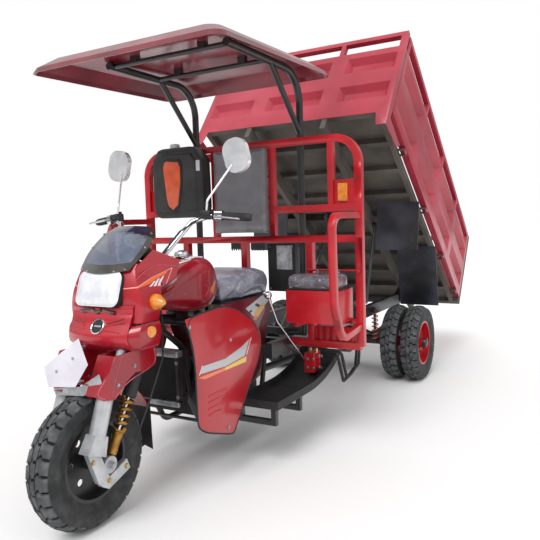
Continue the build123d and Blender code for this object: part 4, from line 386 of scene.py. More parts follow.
def lathe(bm, profile, base, axis, steps=32, finish=0):
    """Spins a profile of (along, out) steps, in metres, about an axis."""
    axis = Vector(axis).normalized()
    side = axis.orthogonal().normalized()
    dots = [bm.verts.new(Vector(base) + axis * along + side * out) for along, out in profile]
    wires = [bm.edges.new(pair) for pair in zip(dots, dots[1:])]
    bmesh.ops.spin(bm, geom=dots + wires, cent=base, axis=axis, dvec=(0, 0, 0), angle=tau, steps=steps,
                   use_merge=True, use_duplicate=False)
    skin = in_order(f for v in dots for f in v.link_faces)
    reached = 0
    while reached < len(skin):
        reached = len(skin)
        skin = in_order(skin + [g for f in skin for e in f.edges for g in e.link_faces])
    bmesh.ops.remove_doubles(bm, verts=in_order(v for f in skin for v in f.verts), dist=1e-6)
    for face in skin:
        if face.is_valid and face.material_index == 0:
            face.material_index = finish


def block(bm, size, place, turn=None, bevel=0.0, finish=0, segments=2):
    """A block with eased edges: size and place in metres."""
    frame_matrix = Matrix.Translation(place) @ (turn.to_4x4() if turn else Matrix.Identity(4))
    made = bmesh.ops.create_cube(bm, size=1.0, matrix=frame_matrix @ Matrix.Diagonal((*size, 1)))
    faces = in_order(f for v in made["verts"] for f in v.link_faces)
    for face in faces:
        face.material_index = finish
    if bevel:
        edges = in_order(e for f in faces for e in f.edges)
        bmesh.ops.bevel(bm, geom=edges, offset=bevel, segments=segments, profile=0.5, affect="EDGES",
                        material=-1)


def rod(bm, start, end, radius, sides=12, finish=0):
    """A round bar from one point to another."""
    start, end = Vector(start), Vector(end)
    turn = Vector((0, 0, 1)).rotation_difference(end - start).to_matrix().to_4x4()
    made = bmesh.ops.create_cone(bm, cap_ends=True, segments=sides, radius1=radius, radius2=radius,
                                 depth=(end - start).length,
                                 matrix=Matrix.Translation((start + end) / 2) @ turn)
    for face in in_order(f for v in made["verts"] for f in v.link_faces):
        face.material_index = finish


def coil(bm, base, axis, coil_r, wire_r, turns, length, finish=0, sides=8, per_turn=18):
    """A helical spring, spun from one ring of wire that climbs as it turns."""
    axis = Vector(axis).normalized()
    side = axis.orthogonal().normalized()
    steps = int(turns * per_turn)
    turn = Matrix((side, axis, side.cross(axis))).transposed().to_4x4()
    old = set(bm.faces)
    ring = bmesh.ops.create_circle(bm, cap_ends=False, segments=sides, radius=wire_r,
                                   matrix=Matrix.Translation(Vector(base) + side * coil_r) @ turn)
    wires = in_order(e for v in ring["verts"] for e in v.link_edges)
    bmesh.ops.spin(bm, geom=ring["verts"] + wires, cent=base, axis=axis, dvec=axis * (length / steps),
                   angle=turns * tau, steps=steps, use_merge=False, use_duplicate=False)
    rims = [e for e in bm.edges if e.is_boundary]
    bmesh.ops.holes_fill(bm, edges=rims, sides=sides)
    for face in set(bm.faces) - old:
        face.material_index = finish


def sheet_cut(bm, outline, depth, bevel=0.0, finish=0):
    """A flat outline of points, given a thickness along the depth vector, with eased edges."""
    face = bm.faces.new([bm.verts.new(p) for p in outline])
    grown = bmesh.ops.extrude_face_region(bm, geom=[face])
    moved = [g for g in grown["geom"] if isinstance(g, bmesh.types.BMVert)]
    bmesh.ops.translate(bm, verts=moved, vec=depth)
    walls = in_order([f for v in moved for f in v.link_faces] + [face])
    for f in walls:
        f.material_index = finish
    if bevel:
        bmesh.ops.bevel(bm, geom=in_order(e for f in walls for e in f.edges), offset=bevel, segments=2,
                        profile=0.5, affect="EDGES", material=-1)


def bolt(bm, place, axis, size=0.008, finish=0):
    """A hexagon bolt head on its washer, standing out along the axis."""
    axis = Vector(axis).normalized()
    place = Vector(place)
    rod(bm, place - axis * 0.001, place + axis * 0.0012, size * 1.35, sides=16, finish=finish)
    rod(bm, place, place + axis * size * 0.8, size, sides=6, finish=finish)


RAKE = radians(21)


def on_fork(x, back, rise):
    """A point in the steering axes: x across, back behind the axis, rise above the head tube's foot."""
    return at(x, 0.195 + back * cos(RAKE) + rise * sin(RAKE), 0.82 - back * sin(RAKE) + rise * cos(RAKE))


# %% [markdown]
# ## Eased sheet metal
# CAD edges are perfectly sharp, but pressed sheet and square tube catch the light on a small radius.
# The copy of a CAD node is merged, its flat faces are joined, and its sharp edges are bevelled. This
# keeps the true shape and gives each edge its thin highlight.

# %% Ease the edges of CAD nodes
def ease_node(name, width_mm, finish, angle=28, segments=2):
    """A copy of a CAD node with its sharp edges rounded; it stands for the node."""
    source = frame["nodes"][name]
    bm = bmesh.new()
    bm.from_mesh(source.data)
    bmesh.ops.remove_doubles(bm, verts=bm.verts, dist=2e-5)
    bmesh.ops.dissolve_limit(bm, angle_limit=radians(0.8), verts=bm.verts, edges=bm.edges,
                             use_dissolve_boundaries=False)
    sharp = [e for e in bm.edges if len(e.link_faces) == 2 and e.calc_face_angle(0) > radians(angle)]
    bmesh.ops.bevel(bm, geom=sharp, offset=width_mm / 1000, offset_type="OFFSET", segments=segments,
                    profile=0.5, affect="EDGES", clamp_overlap=True, material=-1)
    make_piece(name + "_eased", bm, source["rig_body"], finish, stands_for=(name,), crease=30)


for node, width, finish in (("bed_front", 5, bed_red), ("bed_side_left", 5, bed_red),
                            ("bed_side_right", 5, bed_red), ("tailgate", 5, bed_red),
                            ("head_frame", 3, enamel_red), ("passenger_boxes", 1.2, enamel_red),
                            ("front_links", 3, silver_paint)):
    ease_node(node, width, finish)

# %% [markdown]
# ## Tyres
# A cargo tyre has a ribbed carcass and deep staggered tread blocks. The carcass is one profile spun
# about the axle. Each of the three lugs across the crown is an outline with a stepped edge, raised and
# wrapped onto the crown, then spun round, so that the grooves between lugs run zigzag.

# %% Carcass and tread
tread_grey, bsdf, where = finish_of("dusty tread rubber", "58595a", 0.8)
shift_colour(tread_grey, bsdf, where, ("3b3d3f", "4b4d4f", "5e6062"), 38)
grain(tread_grey, bsdf, where, 1.3, 0.25, strength=0.7)

# Groove floors are near black, darker than the sidewall rubber: painted shade down in the grooves.
groove_painted_shade, bsdf, where = finish_of("groove rubber darkened as painted shade", "0e0e0f", 0.85)
shift_colour(groove_painted_shade, bsdf, where, ("0b0b0c", "151516"), 30)

CARCASS = [(0.038, 0.153), (0.045, 0.157), (0.049, 0.168), (0.0565, 0.186), (0.0600, 0.199),
           (0.0612, 0.202), (0.0612, 0.206), (0.0604, 0.209), (0.0606, 0.222), (0.0598, 0.236),
           (0.0575, 0.246), (0.0530, 0.2475), (0.0360, 0.2565), (0.0180, 0.2620), (0.0, 0.2635)]
PITCHES = 27
GROOVE_R = 0.2478
LUGS = ((0.0160, 0.0410, 0.0), (-0.0160, -0.0410, 0.5), (-0.0115, 0.0230, 0.22))  # start, width, lag
LUG_SHARE = 0.80          # of the pitch; the rest is groove
LUG_DEPTH = 0.0125
EDGE_STEPS = ((0.0, 0.0), (0.26, -0.19), (0.50, 0.02), (0.66, 0.02), (1.0, 0.02))


def crown_radius(x):
    """Outer radius of the tread at x from the tyre's middle."""
    return WHEEL_R - 0.018 * (x / 0.0537) ** 2


def dress_tyre(name, node, body, middles, axle):
    """Carcass and tread for each tyre of a wheel: three lugs, then spun round."""
    bm = bmesh.new()
    for x in middles:
        profile = CARCASS + [(-a, r) for a, r in reversed(CARCASS[:-1])]
        lathe(bm, profile, (x, axle, WHEEL_R), (1, 0, 0), steps=96)
    for face in bm.faces:       # the crown under the lugs is the floor of the grooves, darkened as painted shade
        middle = face.calc_center_median()
        if hypot(middle.y - axle, middle.z - WHEEL_R) > GROOVE_R:
            face.material_index = 2
    pitch = tau / PITCHES
    for x in middles:
        for start, width, lag in LUGS:
            low = [(start + u * width, v + lag) for u, v in EDGE_STEPS]
            high = [(u, v + LUG_SHARE) for u, v in reversed(low)]
            flat = bmesh.new()
            lug = flat.faces.new([flat.verts.new((u, v * pitch, 0)) for u, v in low + high])
            grown = bmesh.ops.extrude_face_region(flat, geom=[lug])
            top = [g for g in grown["geom"] if isinstance(g, bmesh.types.BMVert)]
            bmesh.ops.translate(flat, verts=top, vec=(0, 0, 1))
            for v in flat.verts:
                out = crown_radius(v.co.x) - LUG_DEPTH * (1 - v.co.z)
                v.co = (x + v.co.x, axle + out * cos(v.co.y), WHEEL_R + out * sin(v.co.y))
            rim = [e for e in flat.edges if e.verts[0] in top and e.verts[1] in top]
            bmesh.ops.bevel(flat, geom=rim, offset=0.0011, segments=1, profile=0.5, affect="EDGES",
                            material=-1)
            for f in flat.faces:
                f.material_index = 1
            bmesh.ops.spin(flat, geom=flat.verts[:] + flat.edges[:] + flat.faces[:], cent=(x, axle, WHEEL_R),
                           axis=(1, 0, 0), dvec=(0, 0, 0), angle=tau * (PITCHES - 1) / PITCHES,
                           steps=PITCHES - 1, use_duplicate=True)
            scrap = bpy.data.meshes.new("lugs")
            flat.to_mesh(scrap)
            flat.free()
            bm.from_mesh(scrap)
            bpy.data.meshes.remove(scrap)
    make_piece(name, bm, body, tyre_rubber, tread_grey, groove_painted_shade, slot="tyre_rubber",
               stands_for=(node,), crease=28)


low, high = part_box("rear_tyres_left")
REAR_AXLE = (low[1] + high[1]) / 2
TWIN_OUT, TWIN_IN = high[0] - 0.0613, low[0] + 0.0613
dress_tyre("tyre_front", "front_tyre", "front_wheel", (0.0,), AXLE_Y)
dress_tyre("tyres_rear_left", "rear_tyres_left", "rear_wheels_left", (TWIN_IN, TWIN_OUT), REAR_AXLE)
dress_tyre("tyres_rear_right", "rear_tyres_right", "rear_wheels_right", (-TWIN_IN, -TWIN_OUT), REAR_AXLE)

# %% [markdown]
# ## Hubs and nuts
# The discs are bolted to the hub with five nuts round a domed cap. The front wheel runs on a through
# axle with a nut at each end.

# %% Hub caps and nuts
zinc, bsdf, where = finish_of("yellow zinc plated steel", "b9a05a", 0.35, Metallic=0.85)
shift_colour(zinc, bsdf, where, ("a88d48", "c6b06e", "b7b3a0"), 9)
steel_grey, bsdf, where = finish_of("bright zinc plated steel", "a9abad", 0.32, Metallic=0.9)
shift_colour(steel_grey, bsdf, where, ("97999b", "bcbec0"), 12)
for side, body in ((1, "rear_wheels_left"), (-1, "rear_wheels_right")):
    bm = bmesh.new()
    hub = Vector((side * (TWIN_OUT + 0.040), REAR_AXLE, WHEEL_R))
    lathe(bm, [(0.0, 0.0375), (0.008, 0.037), (0.024, 0.033), (0.030, 0.020), (0.031, 0.0)], hub,
          (side, 0, 0), 32)
    for k in range(5):
        a = tau * k / 5 + 0.3
        spot = hub + Vector((-side * 0.0400, 0.062 * cos(a), 0.062 * sin(a)))
        bolt(bm, spot, (side, 0, 0), 0.011, finish=1)
    make_piece("hub_cap_" + ("left" if side > 0 else "right"), bm, body, enamel_black, steel_grey)
bm = bmesh.new()
for side in (1, -1):
    rod(bm, (side * 0.123, AXLE_Y, WHEEL_R), (side * 0.1335, AXLE_Y, WHEEL_R), 0.015, 24, 0)
    bolt(bm, (side * 0.1332, AXLE_Y, WHEEL_R), (side, 0, 0), 0.0125, finish=0)
    for back, rise in ((-0.083, -0.575), (0.106, -0.583), (0.024, -0.640)):
        bolt(bm, on_fork(side * 0.1228, back, rise), (side, 0, 0), 0.0085, finish=1)
make_piece("front_axle_nuts", bm, "steering", steel_grey, zinc)

# %% [markdown]
# ## Front shock absorbers
# Each leading link works against a coil-over shock: a gold lower body, a gold spring over a bright rod
# and a black dust cover over the upper half. The spring is one ring of wire, spun so that it climbs.

# %% Shocks of the front links
rod_chrome, bsdf, where = finish_of("hard chrome damper rod", "e2e4e6", 0.07, Metallic=1.0)
shift_colour(rod_chrome, bsdf, where, ("d8dadc", "e8eaec"), 20)
bm = bmesh.new()
for side in (1, -1):
    foot, head = on_fork(side * 0.11, 0.018, -0.5462), on_fork(side * 0.11, 0.084, -0.0773)
    line = (head - foot).normalized()
    span = (head - foot).length
    lathe(bm, [(0.0, 0.012), (0.004, 0.0195), (0.070, 0.0205), (0.074, 0.0225), (0.088, 0.0225),
               (0.092, 0.0275), (0.0985, 0.0275), (0.0985, 0.0)], foot, line, 28)
    lathe(bm, [(0.09, 0.0), (0.09, 0.0065), (0.30, 0.0065), (0.30, 0.0)], foot, line, 16, finish=1)
    coil(bm, foot + line * 0.1050, line, 0.0215, 0.0080, 4.6, 0.128, finish=0)
    lathe(bm, [(0.232, 0.0), (0.232, 0.027), (0.238, 0.0295), (0.430, 0.0285), (0.446, 0.0235),
               (span, 0.0125), (span, 0.0)], foot, line, 28, finish=2)
make_piece("front_shocks_dressed", bm, "steering", gold_anodised, rod_chrome, plastic_black,
           slot="gold_finish", stands_for=("front_shocks",))

# %% [markdown]
# ## Rear springs
# Helper coils stand beside the leaf springs under the bed, painted copper red.

# %% Rear helper springs
low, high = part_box("rear_shocks")
bm = bmesh.new()
for side in (1, -1):
    x = side * (high[0] - 0.025)
    base = Vector((x, (low[1] + high[1]) / 2, low[2] + 0.02))
    tall = high[2] - low[2] - 0.055
    rod(bm, base - Vector((0, 0, 0.02)), base + Vector((0, 0, tall + 0.03)), 0.010, 16, 1)
    coil(bm, base, (0, 0, 1), 0.0205, 0.0045, 7.0, tall, finish=0)
    for z in (-0.004, tall + 0.004):
        rod(bm, base + Vector((0, 0, z - 0.004)), base + Vector((0, 0, z + 0.004)), 0.025, 24, 1)
    block(bm, (0.021, 0.03, 0.03), (side * (high[0] - 0.0405), base.y, high[2] - 0.02), bevel=0.003, finish=1)
make_piece("rear_shocks_dressed", bm, "chassis", coil_copper, enamel_black, slot="coil_paint",
           stands_for=("rear_shocks",))

# %% [markdown]
# ## Painted stripes
# The stripes are cut film laid on the covers. Each one is a convex outline seen from the vehicle's
# side, so the finish tests on which side of each edge a point lies and mixes the film's colour in.

# %% Film stripes in a finish
def film(material, bsdf, where, code, *outlines):
    """Lays film of one colour inside convex outlines of (y, z), y behind the front axle, in metres."""
    covered = None
    for outline in outlines:
        spots = [at(0, y, z) for y, z in outline]
        middle = sum(spots, Vector()) / len(spots)
        inside = None
        for a, b in zip(spots, spots[1:] + spots[:1]):
            edge = (b - a).cross(Vector((1, 0, 0))).normalized()
            if edge.dot(middle - a) < 0:
                edge = -edge
            depth = add(material, "VectorMath", {0: where}, operation="DOT_PRODUCT")
            depth.inputs[1].default_value = edge
            within = add(material, "Math", {0: depth.outputs["Value"]}, operation="GREATER_THAN")
            within.inputs[1].default_value = edge.dot(a)
            inside = within if inside is None else add(
                material, "Math", {0: inside.outputs[0], 1: within.outputs[0]}, operation="MULTIPLY")
        covered = inside if covered is None else add(
            material, "Math", {0: covered.outputs[0], 1: inside.outputs[0]}, operation="MAXIMUM")
    lay_over(material, bsdf, covered.outputs[0], code)


def cover_finish(name, codes):
    """Gloss painted ABS that takes film stripes."""
    made, bsdf, where = finish_of(name, codes[0], 0.3, Coat_Weight=0.4, Coat_Roughness=0.07)
    shift_colour(made, bsdf, where, codes, 240)
    grain(made, bsdf, where, 3.5, 0.04, strength=0.2)
    return made, bsdf, where


shield_red, bsdf, where = cover_finish("red ABS leg shield with stripes", ("aa1220", "bc1d2b"))
film(shield_red, bsdf, where, "b9babd", ((0.384, 0.593), (0.554, 0.589), (0.552, 0.555), (0.361, 0.564)),
     ((0.554, 0.589), (0.692, 0.617), (0.716, 0.569), (0.552, 0.555)),
     ((0.692, 0.617), (0.767, 0.642), (0.716, 0.569)))
film(shield_red, bsdf, where, "f0e6e4", ((0.779, 0.646), (0.784, 0.644), (0.737, 0.569), (0.732, 0.571)),
     ((0.352, 0.560), (0.378, 0.598), (0.382, 0.597), (0.357, 0.560)))
film(shield_red, bsdf, where, "e6c54e", ((0.550, 0.549), (0.734, 0.563), (0.728, 0.537), (0.551, 0.537)))
film(shield_red, bsdf, where, "e87d4a", ((0.345, 0.551), (0.550, 0.549), (0.551, 0.537), (0.395, 0.534)))
cowl_maroon, bsdf, where = cover_finish("maroon ABS side cowl with stripes", ("5c0c1f", "741428"))
film(cowl_maroon, bsdf, where, "cfd4d8", ((0.954, 0.754), (1.156, 0.812), (1.198, 0.767), (1.041, 0.696)))
film(cowl_maroon, bsdf, where, "1b1b1d", ((1.045, 0.760), (1.068, 0.768), (1.108, 0.751), (1.084, 0.742)),
     ((0.985, 0.733), (1.008, 0.741), (1.022, 0.733), (1.000, 0.725)))
film(cowl_maroon, bsdf, where, "efb52f", ((1.032, 0.719), (1.120, 0.758), (1.151, 0.734), (1.051, 0.678)))
film(cowl_maroon, bsdf, where, "e8782f", ((1.030, 0.686), (1.041, 0.706), (1.073, 0.696), (1.056, 0.677)))
film(cowl_maroon, bsdf, where, "7a1830", ((1.072, 0.672), (1.060, 0.684), (1.152, 0.738), (1.175, 0.716)))
tank_red, bsdf, where = cover_finish("red enamel tank with side film", ("8a0c1e", "a31629"))
film(tank_red, bsdf, where, "e98a2d", ((0.673, 0.893), (0.739, 0.929), (0.748, 0.912), (0.702, 0.859),
                                       (0.667, 0.881)))
film(tank_red, bsdf, where, "c9c8c6", ((0.663, 0.821), (0.712, 0.852), (0.744, 0.838), (0.699, 0.804)))
wing_red, bsdf, where = cover_finish("red ABS fairing with wing stripes", ("a00f20", "b61a2b"))
film(wing_red, bsdf, where, "e8a3a0", ((0.105, 0.948), (0.352, 1.018), (0.352, 1.0145), (0.113, 0.9465)),
     ((0.352, 1.018), (0.355, 1.016), (0.313, 0.943), (0.310, 0.945)))
film(wing_red, bsdf, where, "ea6a26", ((0.121, 0.949), (0.330, 1.0105), (0.318, 0.996), (0.218, 0.963)))
film(wing_red, bsdf, where, "e6e2e4", ((0.206, 0.951), (0.222, 0.951), (0.258, 0.970), (0.246, 0.970)),
     ((0.232, 0.950), (0.250, 0.950), (0.285, 0.979), (0.272, 0.977)),
     ((0.258, 0.949), (0.280, 0.949), (0.307, 0.988), (0.297, 0.984)))
for node, finish in (("fuel_tank", tank_red), ("nose_fairing", wing_red)):
    frame["nodes"][node].data.materials[0] = finish
ease_node("leg_shields", 1.4, shield_red)
ease_node("side_cowls", 1.4, cowl_maroon)
print("stripes on", shield_red.name, "|", cowl_maroon.name, "|", tank_red.name, "|", wing_red.name)

# %% [markdown]
# ## Bars and welts
# Welts, brake lines and bent rods are all a round section drawn along a smooth line.

# %% Sections along a line
def bar_along(bm, points, radius, closed=False, sides=10, finish=0, cuts=4):
    """A round section swept along a line through the points; the line rounds its corners."""
    line = bpy.data.curves.new("line", "CURVE")
    line.dimensions = "3D"
    spline = line.splines.new("NURBS")
    spline.points.add(len(points) - 1)
    for knot, point in zip(spline.points, points):
        knot.co = (*point, 1)
    spline.order_u = 3
    spline.use_endpoint_u = not closed
    spline.resolution_u = cuts
    spline.use_cyclic_u = closed
    line.bevel_depth = radius
    line.bevel_resolution = max(0, sides // 4 - 1)
    line.use_fill_caps = True
    holder = bpy.data.objects.new("line", line)
    shape = bpy.data.meshes.new_from_object(holder)
    for face in shape.polygons:
        face.material_index = finish
    bm.from_mesh(shape)
    bpy.data.objects.remove(holder)
    bpy.data.curves.remove(line)
    bpy.data.meshes.remove(shape)


# %% [markdown]
# ## Leg shields
# Each shield has a rubber welt along its free edge, a few pressed louvres near the foot and screws to
# its bars.

# %% Welt, louvres and screws of the shields
SHIELD_EDGE = ((0.275, 0.810), (0.400, 0.822), (0.513, 0.830), (0.600, 0.822), (0.709, 0.780),
               (0.820, 0.712), (0.876, 0.614), (0.841, 0.520), (0.761, 0.430), (0.688, 0.333),
               (0.615, 0.237), (0.595, 0.226), (0.495, 0.261), (0.395, 0.296), (0.345, 0.330),
               (0.334, 0.360), (0.3325, 0.460), (0.333, 0.560), (0.322, 0.690))
LOUVRES = ((0.452, 0.415, 0.560), (0.424, 0.412, 0.548), (0.396, 0.410, 0.530), (0.368, 0.412, 0.505))
bm = bmesh.new()
for side in (1, -1):
    bar_along(bm, [at(side * 0.300, y, z) for y, z in SHIELD_EDGE], 0.0042, closed=True, finish=0)
    for z, front, rear in LOUVRES:
        block(bm, (0.006, rear - front, 0.012), at(side * 0.3015, (front + rear) / 2, z), bevel=0.0028,
              finish=1)
    for y, z in ((0.600, 0.668), (0.300, 0.775), (0.560, 0.270)):
        rod(bm, at(side * 0.3, y, z), at(side * 0.3045, y, z), 0.0085, 20, 2)
        rod(bm, at(side * 0.3045, y, z), at(side * 0.3062, y, z), 0.0045, 6, 2)
make_piece("shield_trim", bm, "chassis", rubber_black, shield_red, steel_grey)

# %% [markdown]
# ## Headlamp and windscreen
# The lamp is a black shell behind a crowned lens; the reflector inside it is not modelled. The lens starts
# as a rounded slab, and its front is inset and pushed out step by step until it is crowned.

# %% Headlamp
LAMP_MIDDLE = at(0, 0.107, 0.948)
LAMP_OUT = Vector((0, -0.952, 0.306))
LAMP_TURN = Matrix((Vector((1, 0, 0)), -LAMP_OUT, Vector((0, 0.306, 0.952)))).transposed()


def crowned(bm, size, corner, place, turn, out, rise, finish=0, steps=4):
    """A rounded slab whose front is crowned by rise; its local y axis points inwards."""
    spread = Matrix.Translation(place) @ turn.to_4x4() @ Matrix.Diagonal((*size, 1))
    made = bmesh.ops.create_cube(bm, size=1.0, matrix=spread)
    corners = [e for v in made["verts"] for e in v.link_edges
               if abs((e.verts[0].co - e.verts[1].co).normalized().dot(out)) > 0.9]
    rounded = bmesh.ops.bevel(bm, geom=in_order(corners), offset=corner, segments=6, profile=0.5,
                              affect="EDGES", material=-1)
    ends = rounded["verts"] + [v for v in made["verts"] if v.is_valid]
    shell = in_order(f for v in ends for f in v.link_faces)
    shell = in_order(shell + [g for f in shell for e in f.edges for g in e.link_faces])
    front = [f for f in shell if f.is_valid and f.normal.dot(out) > 0.99]
    for k in range(steps):
        bmesh.ops.inset_region(bm, faces=front, thickness=corner * 0.2)
        bmesh.ops.translate(bm, verts=in_order(v for f in front for v in f.verts),
                            vec=out * rise * (0.45, 0.28, 0.17, 0.10)[k])
    for f in shell + front:
        if f.is_valid:
            f.material_index = finish


lamp_glass, bsdf, where = finish_of("bright fluted lamp lens", "eceef4", 0.08, Coat_Weight=1.0, IOR=1.58,
                                    Transmission_Weight=0.12, Coat_Roughness=0.02)
shift_colour(lamp_glass, bsdf, where, ("dfe2ea", "fbfcfd"), 60)
flutes = add(lamp_glass, "TexWave", {"Vector": where}, Scale=per_mm(9) / 6.0, bands_direction="X")
emboss(lamp_glass, bsdf, flutes.outputs["Fac"], 0.35, 0.8)
bm = bmesh.new()
crowned(bm, (0.236, 0.050, 0.146), 0.034, LAMP_MIDDLE - LAMP_OUT * 0.019, LAMP_TURN, LAMP_OUT, 0.0, finish=1)
crowned(bm, (0.226, 0.020, 0.136), 0.030, LAMP_MIDDLE - LAMP_OUT * 0.002, LAMP_TURN, LAMP_OUT, 0.010,
        finish=0)
make_piece("headlamp", bm, "steering", lamp_glass, plastic_black, slot="clear_lens",
           stands_for=("headlight",), crease=50)

# %% Windscreen
SCREEN_ARCS = ((0.118, 1.016, 0.136, 0.034, 0.35), (0.184, 1.092, 0.160, 0.060, 0.15),
               (0.262, 1.166, 0.148, 0.052, -0.1), (0.302, 1.198, 0.098, 0.026, -0.2))


def along_arcs(t, column):
    """A value of the screen's arcs at t from its foot, 0, to its top, 1, on a smooth curve."""
    spot = t * (len(SCREEN_ARCS) - 1)
    k = min(int(spot), len(SCREEN_ARCS) - 2)
    values = [SCREEN_ARCS[max(0, min(len(SCREEN_ARCS) - 1, k + d))][column] for d in (-1, 0, 1, 2)]
    u = spot - k
    a, b, c, d = values
    bend, swing = 2 * a - 5 * b + 4 * c - d, 3 * b - a - 3 * c + d
    return 0.5 * (2 * b + (c - a) * u + bend * u ** 2 + swing * u ** 3)


def on_screen(s, t, lift=0.0):
    """A point of the screen: s across from -1 to 1, t up from 0 to 1, lifted ahead of its face."""
    y, z, half, bow, drop = (along_arcs(t, c) for c in range(5))
    v = bow * (s * s - 0.4) - lift
    lean = (1 + drop * drop) ** 0.5
    return at(half * s, y + v / lean, z + v * drop / lean)


SCREEN_COLUMNS, SCREEN_ROWS = 40, 24
BORDER_FOOT, BORDER_RIGHT, BORDER_LEFT = 4, 5, 3      # printed border, in columns and rows of the grid
BAND_ROW, BAND_DIP = 17, 5                            # the shaded band's lower edge dips at the sides
bm = bmesh.new()
grid = bmesh.ops.create_grid(bm, x_segments=SCREEN_COLUMNS, y_segments=SCREEN_ROWS, size=1)
for v in grid["verts"]:
    v.co = on_screen(v.co.x, (v.co.y + 1) / 2)
bm.verts.index_update()
for face in bm.faces:
    i, j = face.index % SCREEN_COLUMNS, face.index // SCREEN_COLUMNS
    across = (i + 0.5) / (SCREEN_COLUMNS / 2) - 1
    if j < BORDER_FOOT or i < BORDER_RIGHT or i >= SCREEN_COLUMNS - BORDER_LEFT:
        face.material_index = 1
    elif j > BAND_ROW - BAND_DIP * across * across:
        face.material_index = 2
bmesh.ops.recalc_face_normals(bm, faces=bm.faces)
bmesh.ops.solidify(bm, geom=bm.faces[:], thickness=0.003)
# Black print on the screen's border and the dial faces; the same black paints shade in the front panel's
# slots and under its creases.
print_and_shade_black, bsdf, where = finish_of("black print, also painted shade on the front panel", "1a1714", 0.12, Coat_Weight=1.0)
shift_colour(print_and_shade_black, bsdf, where, ("141210", "3a332b"), 60)
screen_band, bsdf, where = finish_of("dark shaded screen band", "262d40", 0.1, Coat_Weight=1.0)
shift_colour(screen_band, bsdf, where, ("1c2233", "323a50"), 50)
SCREEN_SCREWS = ((-0.86, 0.05), (0.86, 0.05), (-0.55, 0.035), (0.55, 0.035), (-0.93, 0.4), (0.93, 0.4),
                 (-0.92, 0.68), (0.92, 0.68))
for s, t in SCREEN_SCREWS:
    rod(bm, on_screen(s, t, 0.0), on_screen(s, t, 0.004), 0.0048, 14, 3)
make_piece("screen", bm, "steering", screen_smoke, print_and_shade_black, screen_band, steel_grey, slot="smoke_lens",
           stands_for=("windscreen",), crease=60)

# %% [markdown]
# ## Front panel
# Under the lamp a curved panel covers the joint of fairing and cowl. It has air slots, drawn as black blocks
# whose colour is painted shade for their openings, a round bare badge with a chrome rim and three creases
# that run outwards at each side, each with a thin black line under it as a painted shadow. An amber
# reflector sits in each cheek beside it.

# %% Panel under the lamp
PANEL_ROWS = ((0.884, 0.096, 0.122), (0.870, 0.088, 0.118), (0.852, 0.090, 0.120), (0.836, 0.080, 0.112),
              (0.812, 0.074, 0.104), (0.790, 0.060, 0.094), (0.768, 0.045, 0.086), (0.746, 0.044, 0.084),
              (0.728, 0.052, 0.088), (0.716, 0.070, 0.100))
PANEL_HALF = 0.168
# each slot is long, high, x, t and lean; each crease runs from x0 to x1 and from t0 to t1
PANEL_SLOTS = ((0.066, 0.010, 0.062, 0.16, 0.16), (0.030, 0.012, 0.012, 0.17, -0.5))
PANEL_CREASES = ((0.055, 0.140, 0.50, 0.40), (0.052, 0.128, 0.56, 0.60), (0.060, 0.135, 0.44, 0.33))


def on_panel(x, t, lift=0.0):
    """A point of the panel: x across in metres, t down from 0 to 1, lifted off its face."""
    spot = t * (len(PANEL_ROWS) - 1)
    k = min(int(spot), len(PANEL_ROWS) - 2)
    z, mid, edge = (a + (b - a) * (spot - k) for a, b in zip(PANEL_ROWS[k], PANEL_ROWS[k + 1]))
    return at(x, mid + (edge - mid) * (x / PANEL_HALF) ** 2 - lift, z)


bm = bmesh.new()
grid = bmesh.ops.create_grid(bm, x_segments=40, y_segments=27, size=1)
for v in grid["verts"]:
    narrow = 1 - 0.16 * ((v.co.y + 1) / 2 if v.co.y < 0 else 0.5) * (1 - v.co.y) / 2
    v.co = on_panel(v.co.x * PANEL_HALF * narrow, (1 - v.co.y) / 2)
bmesh.ops.recalc_face_normals(bm, faces=bm.faces)
bmesh.ops.solidify(bm, geom=bm.faces[:], thickness=0.003)
for side in (1, -1):
    # Each slot is a black block on the panel: painted shade where the opening is dark.
    for long, high, x, t, lean in PANEL_SLOTS:
        block(bm, (long, 0.012, high), on_panel(side * x, t, 0.001), Matrix.Rotation(side * lean, 3, "Y"),
              0.003, finish=1)
    for x0, x1, t0, t1 in PANEL_CREASES:
        points = [on_panel(side * (x0 + (x1 - x0) * u), t0 + (t1 - t0) * u, 0.0005)
                  for u in (0, 0.35, 0.7, 1)]
        bar_along(bm, points, 0.0028, finish=0, cuts=2)
        # The thin black line just under each crease is a painted shadow.
        under = [p - Vector((0, 0.001, 0.0055)) for p in points]
        bar_along(bm, under, 0.0016, finish=1, cuts=2)
make_piece("front_panel", bm, "steering", wing_red, print_and_shade_black)

# %% Badge and cheek reflectors
bm = bmesh.new()
badge, badge_out = at(0.024, 0.0655, 0.801), Vector((0, -0.86, 0.51)).normalized()
lathe(bm, [(-0.010, 0.0335), (0.004, 0.0335), (0.0055, 0.031), (0.0045, 0.0285), (0.0035, 0.0285)], badge,
      badge_out, 40, finish=0)
lathe(bm, [(0.0034, 0.0), (0.0034, 0.029), (0.002, 0.029), (0.002, 0.0)], badge, badge_out, 40, finish=1)
block(bm, (0.036, 0.0035, 0.008), badge + badge_out * 0.0035, Matrix((Vector((1, 0, 0)), -badge_out,
      badge_out.cross(Vector((-1, 0, 0))))).transposed(), bevel=0.0015, finish=0)
make_piece("badge", bm, "steering", chrome, plastic_black)
bm = bmesh.new()
for side in (1, -1):
    spot = at(side * 0.1985, 0.182, 0.772)
    out = (side, -0.25, 0)
    lathe(bm, [(-0.006, 0.0), (-0.006, 0.024), (0.004, 0.024), (0.007, 0.021), (0.0085, 0.0)], spot, out, 28,
          finish=0)
    lathe(bm, [(-0.007, 0.0), (-0.007, 0.0265), (0.003, 0.0265), (0.003, 0.024)], spot, out, 28, finish=1)
make_piece("cheek_reflectors", bm, "steering", lens_amber, rubber_black)

# %% [markdown]
# ## Padded seats
# The cushions are foam in vinyl, still in their clear delivery film. Each one starts as its plain solid,
# a little shrunk, is remeshed, and is blown up by cloth pressure so that its faces crown and its sides
# pull in between the corners. Welts are laid on after that.

